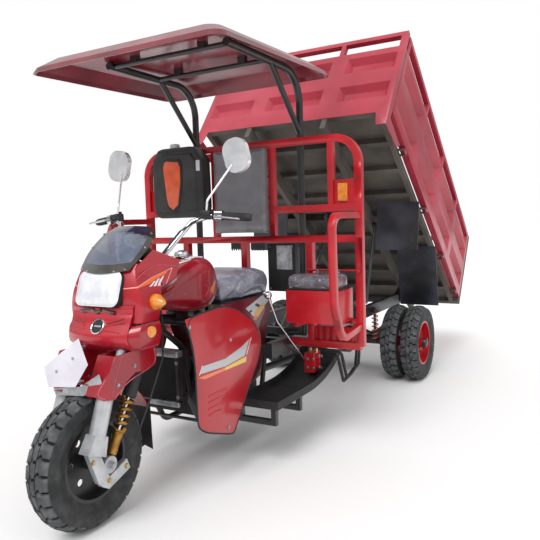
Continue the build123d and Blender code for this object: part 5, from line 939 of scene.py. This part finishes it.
# %% Vinyl under wrinkled film
def wrapped_vinyl(name, codes, painted_highlight, wrinkle_mm):
    """Vinyl under loose clear film: pale streaks painted along the film's folds stand in for their
    highlights; the folds also bump the coat.
    """
    made, bsdf, where = finish_of(name, codes[0], 0.38, Coat_Weight=0.9, Coat_Roughness=0.06)
    shift_colour(made, bsdf, where, codes, 90)
    long_way = add(made, "Mapping", {"Vector": where}, Rotation=(0.3, 0.5, 0.7), Scale=(1.0, 4.2, 1.7))
    folds = add(made, "TexNoise", {"Vector": long_way.outputs[0]}, Scale=per_mm(wrinkle_mm), Detail=1.5,
                Distortion=0.5)
    off = add(made, "Math", {0: folds.outputs["Fac"]}, operation="SUBTRACT")
    off.inputs[1].default_value = 0.5
    ridge = add(made, "Math", {0: off.outputs[0]}, operation="ABSOLUTE")
    line = add(made, "MapRange", {"Value": ridge.outputs[0]}, From_Min=0.0, From_Max=0.011, To_Min=1.0,
               To_Max=0.0)
    amount = add(made, "Math", {0: line.outputs["Result"]}, operation="MULTIPLY")
    amount.inputs[1].default_value = painted_highlight
    # the pale colour laid along the fold ridges is a painted highlight
    lay_over(made, bsdf, amount.outputs[0], "e4e6ec")
    fold = add(made, "Bump", {"Height": ridge.outputs[0]}, Strength=0.5, Distance=0.003)
    made.node_tree.links.new(fold.outputs["Normal"], bsdf.inputs["Coat Normal"])
    pebbles = add(made, "TexVoronoi", {"Vector": where}, Scale=per_mm(2.4))
    emboss(made, bsdf, pebbles.outputs["Distance"], 0.4, 0.3)
    return made


vinyl_blue_grey = wrapped_vinyl("blue-grey seat vinyl under film", ("7c8190", "979cab"), 0.8, 60)
vinyl_grey = wrapped_vinyl("grey seat vinyl under film", ("5b5a62", "6c6b73"), 0.5, 95)
vinyl_board = wrapped_vinyl("grey backrest vinyl under film", ("6d6d71", "78787c"), 0.04, 260)


def cushion(name, nodes, body, finish, shrink_mm, cap_mm, voxel_mm=5.0, pressure=4.0):
    """Foam in vinyl: the plain solids of the nodes, blown up by cloth pressure within a cap."""
    bm = bmesh.new()
    for node in nodes:
        bm.from_mesh(frame["nodes"][node].data)
    bmesh.ops.remove_doubles(bm, verts=bm.verts, dist=2e-5)
    mesh = bpy.data.meshes.new(name)
    bm.to_mesh(mesh)
    bm.free()
    piece = bpy.data.objects.new(name, mesh)
    bpy.context.scene.collection.objects.link(piece)
    remesh = piece.modifiers.new("even grid", "REMESH")
    remesh.mode, remesh.voxel_size = "VOXEL", voxel_mm / 1000
    ease = piece.modifiers.new("eased", "SMOOTH")
    ease.factor, ease.iterations = 0.5, 6
    piece.data = bpy.data.meshes.new_from_object(piece.evaluated_get(bpy.context.evaluated_depsgraph_get()))
    piece.modifiers.clear()
    start = [v.co - v.normal * shrink_mm / 1000 for v in piece.data.vertices]
    for v, co in zip(piece.data.vertices, start):
        v.co = co
    cloth = piece.modifiers.new("pressure", "CLOTH")
    cloth.settings.use_pressure = True
    cloth.settings.uniform_pressure_force = pressure
    cloth.settings.effector_weights.gravity = 0
    cloth.settings.quality = 5
    cloth.point_cache.frame_start, cloth.point_cache.frame_end = 1, 20
    for step in range(1, 21):
        bpy.context.scene.frame_set(step)
    blown = piece.evaluated_get(bpy.context.evaluated_depsgraph_get()).data
    moved = [v.co.copy() for v in blown.vertices]
    piece.modifiers.clear()
    for v, a, b in zip(piece.data.vertices, start, moved):
        push = b - a
        v.co = a + push * min(1.0, cap_mm / 1000 / max(push.length, 1e-9))
    bpy.context.scene.frame_set(1)
    piece.data.materials.clear()
    piece.data.materials.append(finish)
    piece.data.shade_smooth()
    finer = piece.modifiers.new("finer", "SUBSURF")
    finer.levels = finer.render_levels = 1
    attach(piece, body)
    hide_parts(*nodes)
    print(name, len(piece.data.polygons), "faces")


cushion("rider_seat_pad", ("rider_seat",), "chassis", vinyl_blue_grey, 6, 12, voxel_mm=5.5)
cushion("passenger_pad_left", ("passenger_seat_left",), "seat_lid_left", vinyl_grey, 4, 8)
cushion("passenger_pad_right", ("passenger_seat_right",), "seat_lid_right", vinyl_grey, 4, 8)
cushion("backrest_pad", ("backrest",), "chassis", vinyl_board, 4, 8, voxel_mm=6)

# %% [markdown]
# ## Seat welts and the fringe
# A piped welt runs round each passenger cushion where its top panel is sewn to the sides. Two short
# toothed rubber strips hang under the bar below the backrest.

# %% Welts and fringe
for side, body in ((1, "seat_lid_left"), (-1, "seat_lid_right")):
    low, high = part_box("passenger_seat_left" if side > 0 else "passenger_seat_right")
    ease, inset = 0.014, 0.004
    bm = bmesh.new()
    ring = [(low[0] + ease, low[1] + inset), (high[0] - ease, low[1] + inset),
            (high[0] - inset, low[1] + ease), (high[0] - inset, high[1] - ease),
            (high[0] - ease, high[1] - inset), (low[0] + ease, high[1] - inset),
            (low[0] + inset, high[1] - ease), (low[0] + inset, low[1] + ease)]
    bar_along(bm, [Vector((x, y, low[2] + 0.006)) for x, y in ring], 0.0032, closed=True)
    make_piece("pad_welt_" + ("left" if side > 0 else "right"), bm, body, rubber_black)

bm = bmesh.new()
for x0, x1 in ((-0.086, -0.012), (0.046, 0.137)):
    teeth = 5
    step = (x1 - x0) / teeth
    edge = [at(x1, 1.2215, 1.083), at(x0, 1.2215, 1.083)]
    for k in range(teeth):
        edge += [at(x0 + k * step, 1.2215, 1.050), at(x0 + (k + 0.5) * step, 1.2215, 1.038),
                 at(x0 + (k + 0.85) * step, 1.2215, 1.052)]
    sheet_cut(bm, edge, Vector((0, 0.003, 0)), finish=0)
make_piece("fringe", bm, "chassis", plastic_black)

# %% [markdown]
# ## Water tank
# A blow-moulded black can with a stepped front panel, an orange moulded insert that tapers downwards, a
# row of slots over the panel and a white screw cap.

# %% Tank body, insert, slots and cap
low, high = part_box("water_tank")
bm = bmesh.new()
mid_x, half_x = (low[0] + high[0]) / 2, (high[0] - low[0]) / 2
body_top = at(0, 0, 1.643).z
outline = [(-half_x + 0.045, low[2]), (half_x - 0.045, low[2]), (half_x - 0.012, low[2] + 0.018),
           (half_x, low[2] + 0.06), (half_x - 0.004, body_top - 0.075), (half_x - 0.055, body_top - 0.006),
           (half_x - 0.09, body_top), (-half_x + 0.075, body_top), (-half_x + 0.045, body_top - 0.008),
           (-half_x + 0.006, body_top - 0.06), (-half_x, body_top - 0.09), (-half_x, low[2] + 0.06),
           (-half_x + 0.012, low[2] + 0.018)]
sheet_cut(bm, [Vector((mid_x + x, high[1] - 0.002, z)) for x, z in outline],
          Vector((0, low[1] - high[1] + 0.014, 0)), bevel=0.010, finish=0)
front = [f for f in bm.faces if f.normal.y < -0.99
         or (f.calc_center_median().y < low[1] + 0.016 and abs(f.normal.y) > 0.99)]
front = sorted(front, key=lambda f: -f.calc_area())[:1]
for thickness, push in ((0.028, 0.0), (0.010, -0.009)):
    bmesh.ops.inset_region(bm, faces=front, thickness=thickness)
    bmesh.ops.translate(bm, verts=in_order(v for f in front for v in f.verts), vec=(0, push, 0))
face_y = low[1] + 0.003
insert = ((-0.465, 1.558), (-0.451, 1.566), (-0.366, 1.557), (-0.352, 1.525), (-0.354, 1.433),
          (-0.375, 1.312), (-0.413, 1.285), (-0.442, 1.307), (-0.454, 1.344), (-0.475, 1.527))
frame_line = [Vector((mid_x + (x + 0.412) * 1.22 - 0.026, face_y + 0.003,
                      at(0, 0, 1.425 + (z - 1.425) * 1.14).z))
              for x, z in insert]
sheet_cut(bm, frame_line, Vector((0, -0.006, 0)), bevel=0.002, finish=1)
sheet_cut(bm, [Vector((x, face_y, at(0, 0, z).z)) for x, z in insert], Vector((0, -0.007, 0)), bevel=0.002,
          finish=2)
for k in range(9):
    block(bm, (0.010, 0.004, 0.006), (mid_x - 0.125 + k * 0.026, low[1] + 0.010, body_top - 0.020),
          bevel=0.001, finish=3)
cap = Vector((-0.422, (low[1] + high[1]) / 2, body_top - 0.004))
lathe(bm, [(0.0, 0.030), (0.010, 0.030), (0.011, 0.0275), (0.024, 0.0275), (0.028, 0.024), (0.028, 0.0)],
      cap, (0, 0, 1), 36, finish=4)
CAP_RIBS = 24
for k in range(CAP_RIBS):
    rim = Vector((cos(tau * k / CAP_RIBS), sin(tau * k / CAP_RIBS), 0)) * 0.0275
    rod(bm, cap + rim + Vector((0, 0, 0.011)), cap + rim + Vector((0, 0, 0.024)), 0.0014, 6, 4)
block(bm, (0.026, 0.004, 0.06), (mid_x + half_x - 0.030, low[1] + 0.010, at(0, 0, 1.53).z), bevel=0.0012,
      finish=4)
tank_black, bsdf, where = finish_of("grey-black blow-moulded polyethylene", "2f302f", 0.5)
shift_colour(tank_black, bsdf, where, ("272827", "3a3a38"), 110)
grain(tank_black, bsdf, where, 1.4, 0.12)
orange_abs, bsdf, where = finish_of("orange ABS insert", "e85a2c", 0.36, Coat_Weight=0.3)
shift_colour(orange_abs, bsdf, where, ("de5024", "ef683a"), 60)
grain(orange_abs, bsdf, where, 1.2, 0.04, strength=0.3)
make_piece("water_tank_dressed", bm, "chassis", tank_black, plastic_black, orange_abs, rubber_black,
           plastic_white, slot="black_plastic", stands_for=("water_tank",))

# %% [markdown]
# ## Tank cap, creases and film
# Thin creases follow the pressed panels of the tank, as pale beads whose colour is a painted highlight on
# the edges. Each is laid on the tank by a ray, so it keeps to the metal however the tank is shaped.

# %% Lay lines on a node
def tree_of(node):
    """The node's surface, ready for rays."""
    shell = bmesh.new()
    shell.from_mesh(frame["nodes"][node].data)
    shell.transform(frame["nodes"][node].matrix_world)
    tree = BVHTree.FromBMesh(shell)
    shell.free()
    return tree


def laid(tree, points, towards, lift=0.0006):
    """Those points moved along towards until they meet the surface, then lifted off it."""
    way = Vector(towards).normalized()
    hits = [tree.ray_cast(p - way * 0.6, way) for p in points]
    return [spot + normal * lift for spot, normal, _, _ in hits if spot is not None]


# The beads' pale pink is a painted highlight along the pressed edges.
tank_edge_highlight, bsdf, where = finish_of("pale bead, painted highlight on the pressed edge", "c8596a", 0.3, Coat_Weight=0.5)
shift_colour(tank_edge_highlight, bsdf, where, ("b84a5c", "d06a78"), 60)
TANK_STRIPS = ((0.560, 0.600, 2), (0.632, 0.690, 2), (0.606, 0.624, 3))     # from y, to y, finish
tank_tree = tree_of("fuel_tank")
bm = bmesh.new()
for side in (1, -1):
    lens = [at(side * 0.2, y, z) for y, z in ((0.470, 0.842), (0.505, 0.893), (0.585, 0.925), (0.652, 0.905),
                                              (0.640, 0.866), (0.575, 0.842))]
    bar_along(bm, laid(tank_tree, lens, (-side, 0, 0)), 0.0021, closed=True, finish=0, cuts=3)
    shoulder = [at(side * 0.2, y, z)
                for y, z in ((0.440, 0.884), (0.520, 0.945), (0.620, 0.962), (0.730, 0.925))]
    bar_along(bm, laid(tank_tree, shoulder, (-side, 0, 0)), 0.0018, finish=0, cuts=4)
cap = at(0, 0.655, 1.040)
lathe(bm, [(0.0, 0.050), (0.006, 0.050), (0.009, 0.045), (0.010, 0.037), (0.022, 0.0355), (0.028, 0.031),
           (0.030, 0.018), (0.030, 0.0)], cap, (0, 0, 1), 40, finish=1)
block(bm, (0.012, 0.046, 0.008), cap + Vector((0, 0, 0.032)), None, 0.003, finish=1)
for side in (1, -1):
    for y0, y1, finish in TANK_STRIPS:
        strip = [at(side * x, y, 1.2) for x, y in ((0.058, y0), (0.082, (y0 + y1) / 2), (0.094, y1))]
        bar_along(bm, laid(tank_tree, strip, (0, 0, -1)), 0.0062, finish=finish, cuts=3)
make_piece("tank_trim", bm, "chassis", tank_edge_highlight, chrome, plastic_white, print_and_shade_black)

# %% [markdown]
# ## Radiator and battery box
# The radiator is a black finned core between bright end tanks. The battery box hangs behind the lower
# bar of the frame, with a sheet of packing film still on its face.

# %% Radiator
fin_black, bsdf, where = finish_of("black painted radiator fins", "1d1f21", 0.45, Metallic=0.4)
shift_colour(fin_black, bsdf, where, ("141517", "34363a"), 7)
cast_silver, bsdf, where = finish_of("bare cast aluminium", "a7aaad", 0.42, Metallic=0.7)
shift_colour(cast_silver, bsdf, where, ("8f9295", "b9bcbf"), 40)
grain(cast_silver, bsdf, where, 1.4, 0.12, strength=0.5)
CORE_W, CORE_H, CORE_Z = 0.262, 0.190, 0.506
front_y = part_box("radiator")[0][1]
bm = bmesh.new()
core_place = Matrix.Translation(Vector((0, front_y - 0.002, CORE_Z))) @ Matrix.Rotation(pi / 2, 4, "X")
bmesh.ops.create_grid(bm, x_segments=38, y_segments=30, size=0.5,
                      matrix=core_place @ Matrix.Diagonal((CORE_W, CORE_H, 1, 1)))
bmesh.ops.wireframe(bm, faces=bm.faces[:], thickness=0.0022, use_replace=True, use_even_offset=False)
for f in bm.faces:
    f.material_index = 0
for z, high in ((0.622, 0.030), (0.394, 0.026)):
    block(bm, (0.292, 0.046, high), Vector((0, front_y + 0.012, z)), None, 0.009, finish=1, segments=3)
for side in (1, -1):
    block(bm, (0.014, 0.030, 0.222), Vector((side * 0.137, front_y + 0.009, 0.508)), None, 0.003, finish=2)
    bolt(bm, Vector((side * 0.137, front_y - 0.006, 0.585)), (0, -1, 0), 0.0065, finish=1)
    bolt(bm, Vector((side * 0.137, front_y - 0.006, 0.430)), (0, -1, 0), 0.0065, finish=1)
lathe(bm, [(0.0, 0.021), (0.010, 0.021), (0.014, 0.018), (0.014, 0.0)], at(-0.07, 0.470, 0.636), (0, 0, 1),
      28, finish=2)
make_piece("radiator_face", bm, "chassis", fin_black, cast_silver, plastic_black)

# %% Battery box
film_pale, bsdf, where = finish_of("clear packing film over grey card", "a9adb4", 0.22, Coat_Weight=1.0)
shift_colour(film_pale, bsdf, where, ("85898f", "c6cacf"), 40, low=0.35, high=0.65)
grain(film_pale, bsdf, where, 22, 2.5, detail=1.0, strength=0.6)
bm = bmesh.new()
block(bm, (0.170, 0.056, 0.267), at(0.215, 1.290, 0.943), None, 0.006, finish=0, segments=3)
block(bm, (0.096, 0.004, 0.134), at(0.2385, 1.2605, 1.000), None, 0.0015, finish=1)
for x in (0.145, 0.285):
    for z in (0.825, 1.062):
        bolt(bm, at(x, 1.261, z), (0, -1, 0), 0.006, finish=2)
make_piece("battery_box", bm, "chassis", plastic_black, film_pale, steel_grey)

# %% [markdown]
# ## Rider's controls
# Each grip has a black switch box beside it and a flanged, ribbed rubber. Two round dials sit behind
# the windscreen on the bar clamp.

# %% Switch boxes, grips and dials
GRIP_RIBS, RIB_PITCH = 22, 0.0065
bm = bmesh.new()
for side in (1, -1):
    inner, outer = at(side * 0.290, 0.515, 1.236), at(side * 0.454, 0.565, 1.221)
    line = (outer - inner).normalized()
    turn = line.to_track_quat("X", "Z").to_matrix()
    block(bm, (0.046, 0.044, 0.040), inner - line * 0.030, turn, 0.007, finish=0, segments=3)
    block(bm, (0.016, 0.020, 0.014), inner - line * 0.030 + Vector((0, 0.012, 0.024)), turn, 0.003, finish=1)
    ribs = [(0.0, 0.020), (0.004, 0.0225), (0.007, 0.018)]
    for k in range(GRIP_RIBS):
        ribs += [(0.012 + k * RIB_PITCH, 0.0168), (0.0152 + k * RIB_PITCH, 0.0182)]
    tip = (outer - inner).length
    lathe(bm, [(0.0, 0.0)] + ribs + [(tip + 0.002, 0.0150), (tip + 0.004, 0.0)], inner, line, 24, finish=1)
    dial, face = at(side * 0.050, 0.335, 1.092), Vector((0, 0.62, 0.78))
    lathe(bm, [(-0.040, 0.0), (-0.040, 0.024), (-0.012, 0.038), (0.004, 0.038), (0.006, 0.034), (0.0, 0.033)],
          dial, face, 32, finish=0)
    lathe(bm, [(-0.002, 0.0), (-0.002, 0.0335), (0.001, 0.0335), (0.001, 0.0)], dial, face, 32, finish=2)
block(bm, (0.060, 0.010, 0.020), at(0, 0.330, 1.075), None, 0.003, finish=0)
rod(bm, at(0, 0.334, 1.080), at(0, 0.345, 1.035), 0.009, 16, finish=0)
make_piece("rider_controls", bm, "steering", plastic_black, rubber_black, print_and_shade_black, slot="black_rubber",
           stands_for=("grips",))

# %% [markdown]
# ## Hydraulic valve
# The red block has plated unions on its faces, where the hoses screw in, and a spool at the top.

# %% Unions and spool
low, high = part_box("hydraulic_valve")
middle = (Vector(low) + Vector(high)) / 2
bm = bmesh.new()
UNION = [(-0.006, 0.0), (-0.006, 0.012), (0.006, 0.012), (0.008, 0.009), (0.020, 0.009), (0.020, 0.0)]
for side, share in ((1, 0.30), (1, -0.30), (-1, 0.28), (-1, -0.28)):
    spot = middle + Vector((side * (high[0] - low[0]) * 0.45, 0, share * (high[2] - low[2])))
    lathe(bm, UNION, spot, (side, 0, 0), 6, finish=0)
for x in (-0.018, 0.018):
    lathe(bm, [(-0.004, 0.0), (-0.004, 0.009), (0.018, 0.009), (0.022, 0.006), (0.022, 0.0)],
          Vector((middle.x + x, middle.y, high[2])), (0, 0, 1), 16, finish=1)
    bolt(bm, Vector((middle.x + x, low[1], middle.z + 0.02)), (0, -1, 0), 0.007, finish=0)
    bolt(bm, Vector((middle.x + x, low[1], middle.z - 0.03)), (0, -1, 0), 0.007, finish=0)
make_piece("valve_unions", bm, "chassis", steel_grey, zinc)

# %% Ribbed rubber on the footboards
mat_black, bsdf, where = finish_of("black chequered rubber mat", "161718", 0.55)
shift_colour(mat_black, bsdf, where, ("111213", "232426"), 120)
checks = add(mat_black, "TexVoronoi", {"Vector": where}, Scale=per_mm(14))
emboss(mat_black, bsdf, checks.outputs["Distance"], 0.9, 3.0)
frame["nodes"]["footboards"].data.materials[0] = mat_black
print("trim on tank, radiator, battery box, controls, valve and footboards")

# %% [markdown]
# ## Edges of the covers
# The mudguard's cheeks and the fairing's wings have rolled edges. They are thin beads laid on the covers,
# paler than the covers as a painted highlight. The front turn signals get cone-shaped lenses on a red collar.

# %% Beads, screws and signal lenses
# The beads' pale red is a painted highlight on the rolled edges.
edge_highlight_red, bsdf, where = finish_of("pale red bead, painted highlight on the rolled edge", "c9485a", 0.28, Coat_Weight=0.6)
shift_colour(edge_highlight_red, bsdf, where, ("b93a4c", "d35c6c"), 50)
CHEEK = ((0.018, 0.698), (-0.020, 0.628), (-0.056, 0.560), (-0.030, 0.538), (0.014, 0.535), (0.045, 0.556),
         (0.075, 0.585), (0.131, 0.611), (0.200, 0.607), (0.252, 0.622), (0.262, 0.660), (0.249, 0.698))
cheek_tree = tree_of("front_mudguard")
fairing_tree = tree_of("nose_fairing")
bm = bmesh.new()
for side in (1, -1):
    rim = [at(side * 0.35, y, z) for y, z in CHEEK]
    middle = sum(rim, Vector()) / len(rim)
    rim = [middle + (p - middle) * 0.975 for p in rim]
    bar_along(bm, laid(cheek_tree, rim, (-side, 0, 0), 0.0005), 0.0022, finish=0, cuts=3)
    fold = [at(side * 0.35, y, z) for y, z in ((0.060, 0.694), (0.018, 0.610), (-0.006, 0.548))]
    bar_along(bm, laid(cheek_tree, fold, (-side, 0, 0), 0.0), 0.0016, finish=0, cuts=4)
    for y, z in ((0.126, 0.640), (0.030, 0.585)):
        for spot in laid(cheek_tree, [at(side * 0.35, y, z)], (-side, 0, 0)):
            bolt(bm, spot, (side, 0, 0), 0.0062, finish=1)
    for run in (((0.150, 0.985), (0.205, 1.020), (0.290, 1.040), (0.385, 1.020)),
                ((0.130, 0.928), (0.220, 0.934), (0.300, 0.946), (0.350, 0.966)),
                ((0.200, 1.062), (0.255, 1.090), (0.330, 1.072))):
        line = laid(fairing_tree, [at(side * 0.40, y, z) for y, z in run], (-side, 0, 0), 0.0004)
        if len(line) > 1:
            bar_along(bm, line, 0.0019, finish=0, cuts=4)
make_piece("cover_beads", bm, "steering", edge_highlight_red, steel_grey)
bm = bmesh.new()
for side in (1, -1):
    foot, way = at(side * 0.184, 0.222, 0.888), Vector((side, -0.22, 0.02))
    lathe(bm, [(-0.004, 0.0), (-0.004, 0.034), (0.008, 0.0345), (0.008, 0.0)], foot, way, 32, finish=1)
    lathe(bm, [(0.007, 0.0), (0.007, 0.0325), (0.022, 0.0335), (0.036, 0.030), (0.056, 0.019), (0.070, 0.010),
               (0.074, 0.0)], foot, way, 32, finish=0)
make_piece("signal_lenses", bm, "steering", lens_amber, cover_red, slot="amber_lens",
           stands_for=("turn_signals",))

# %% [markdown]
# ## Plate bracket and mirrors
# The blank plate is bolted to a bent bare-metal bracket. The mirrors' backs are bright plated shells.

# %% Bracket and mirror shells
bm = bmesh.new()
low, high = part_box("number_plate")
for x, z in ((-0.075, 0.640), (0.020, 0.700)):
    bolt(bm, Vector((x, low[1] - 0.001, z)), (0, -1, 0), 0.0045, finish=0)
BRACKET = ((-0.110, 0.566), (0.026, 0.584), (0.120, 0.640), (0.132, 0.606), (0.040, 0.548), (-0.100, 0.540))
face = bm.faces.new([bm.verts.new((x, AXLE_Y - 0.058 + 0.10 * (x + 0.11), z)) for x, z in BRACKET])
grown = bmesh.ops.extrude_face_region(bm, geom=[face])
back = [g for g in grown["geom"] if isinstance(g, bmesh.types.BMVert)]
bmesh.ops.translate(bm, verts=back, vec=(0, 0.002, 0))
make_piece("plate_bracket", bm, "steering", cast_silver)
mirror_shell, bsdf, where = finish_of("bright plated mirror shell", "eceef0", 0.2, Metallic=0.45,
                                      Coat_Weight=0.8)
shift_colour(mirror_shell, bsdf, where, ("dcdee1", "f5f6f7"), 60)
frame["nodes"]["mirrors"].data.materials[0] = mirror_shell

# %% [markdown]
# ## Engine covers
# A round cover with a ring of bolts closes each side of the crankcase.

# %% Round covers and their bolts
COVER_BOLTS = 8
low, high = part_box("engine")
bm = bmesh.new()
for side, reach in ((1, high[0]), (-1, low[0])):
    hub = Vector((reach - side * 0.004, low[1] + (high[1] - low[1]) * 0.55,
                  low[2] + (high[2] - low[2]) * 0.38))
    lathe(bm, [(0.0, 0.088), (0.008, 0.088), (0.010, 0.080), (0.016, 0.074), (0.019, 0.040), (0.024, 0.034),
               (0.024, 0.0)], hub, (side, 0, 0), 40, finish=0)
    for k in range(COVER_BOLTS):
        a = tau * k / COVER_BOLTS
        spot = hub + Vector((side * 0.008, 0.0835 * cos(a), 0.0835 * sin(a)))
        bolt(bm, spot, (side, 0, 0), 0.006, finish=1)
make_piece("engine_covers", bm, "chassis", cast_black, steel_grey)
print("beads, lenses, bracket, mirrors and engine covers")

# %% [markdown]
# ## Fender sheets and armrests
# The fenders under the bed are black sheet with a soft shine, and the armrests' square tube has rounded
# corners.

# %% Sheet finish and eased tube
fender_sheet, bsdf, where = finish_of("black satin fender sheet", "2c2d33", 0.36, Coat_Weight=0.5,
                                      Coat_Roughness=0.15)
shift_colour(fender_sheet, bsdf, where, ("1d1e22", "30323a", "43454e"), 210)
grain(fender_sheet, bsdf, where, 60, 1.6, detail=1.0, strength=0.5)      # the sheet is slightly dented
frame["nodes"]["bed_fenders"].data.materials[0] = fender_sheet
ease_node("armrests", 2.2, enamel_red)
print("fender sheets and armrests")
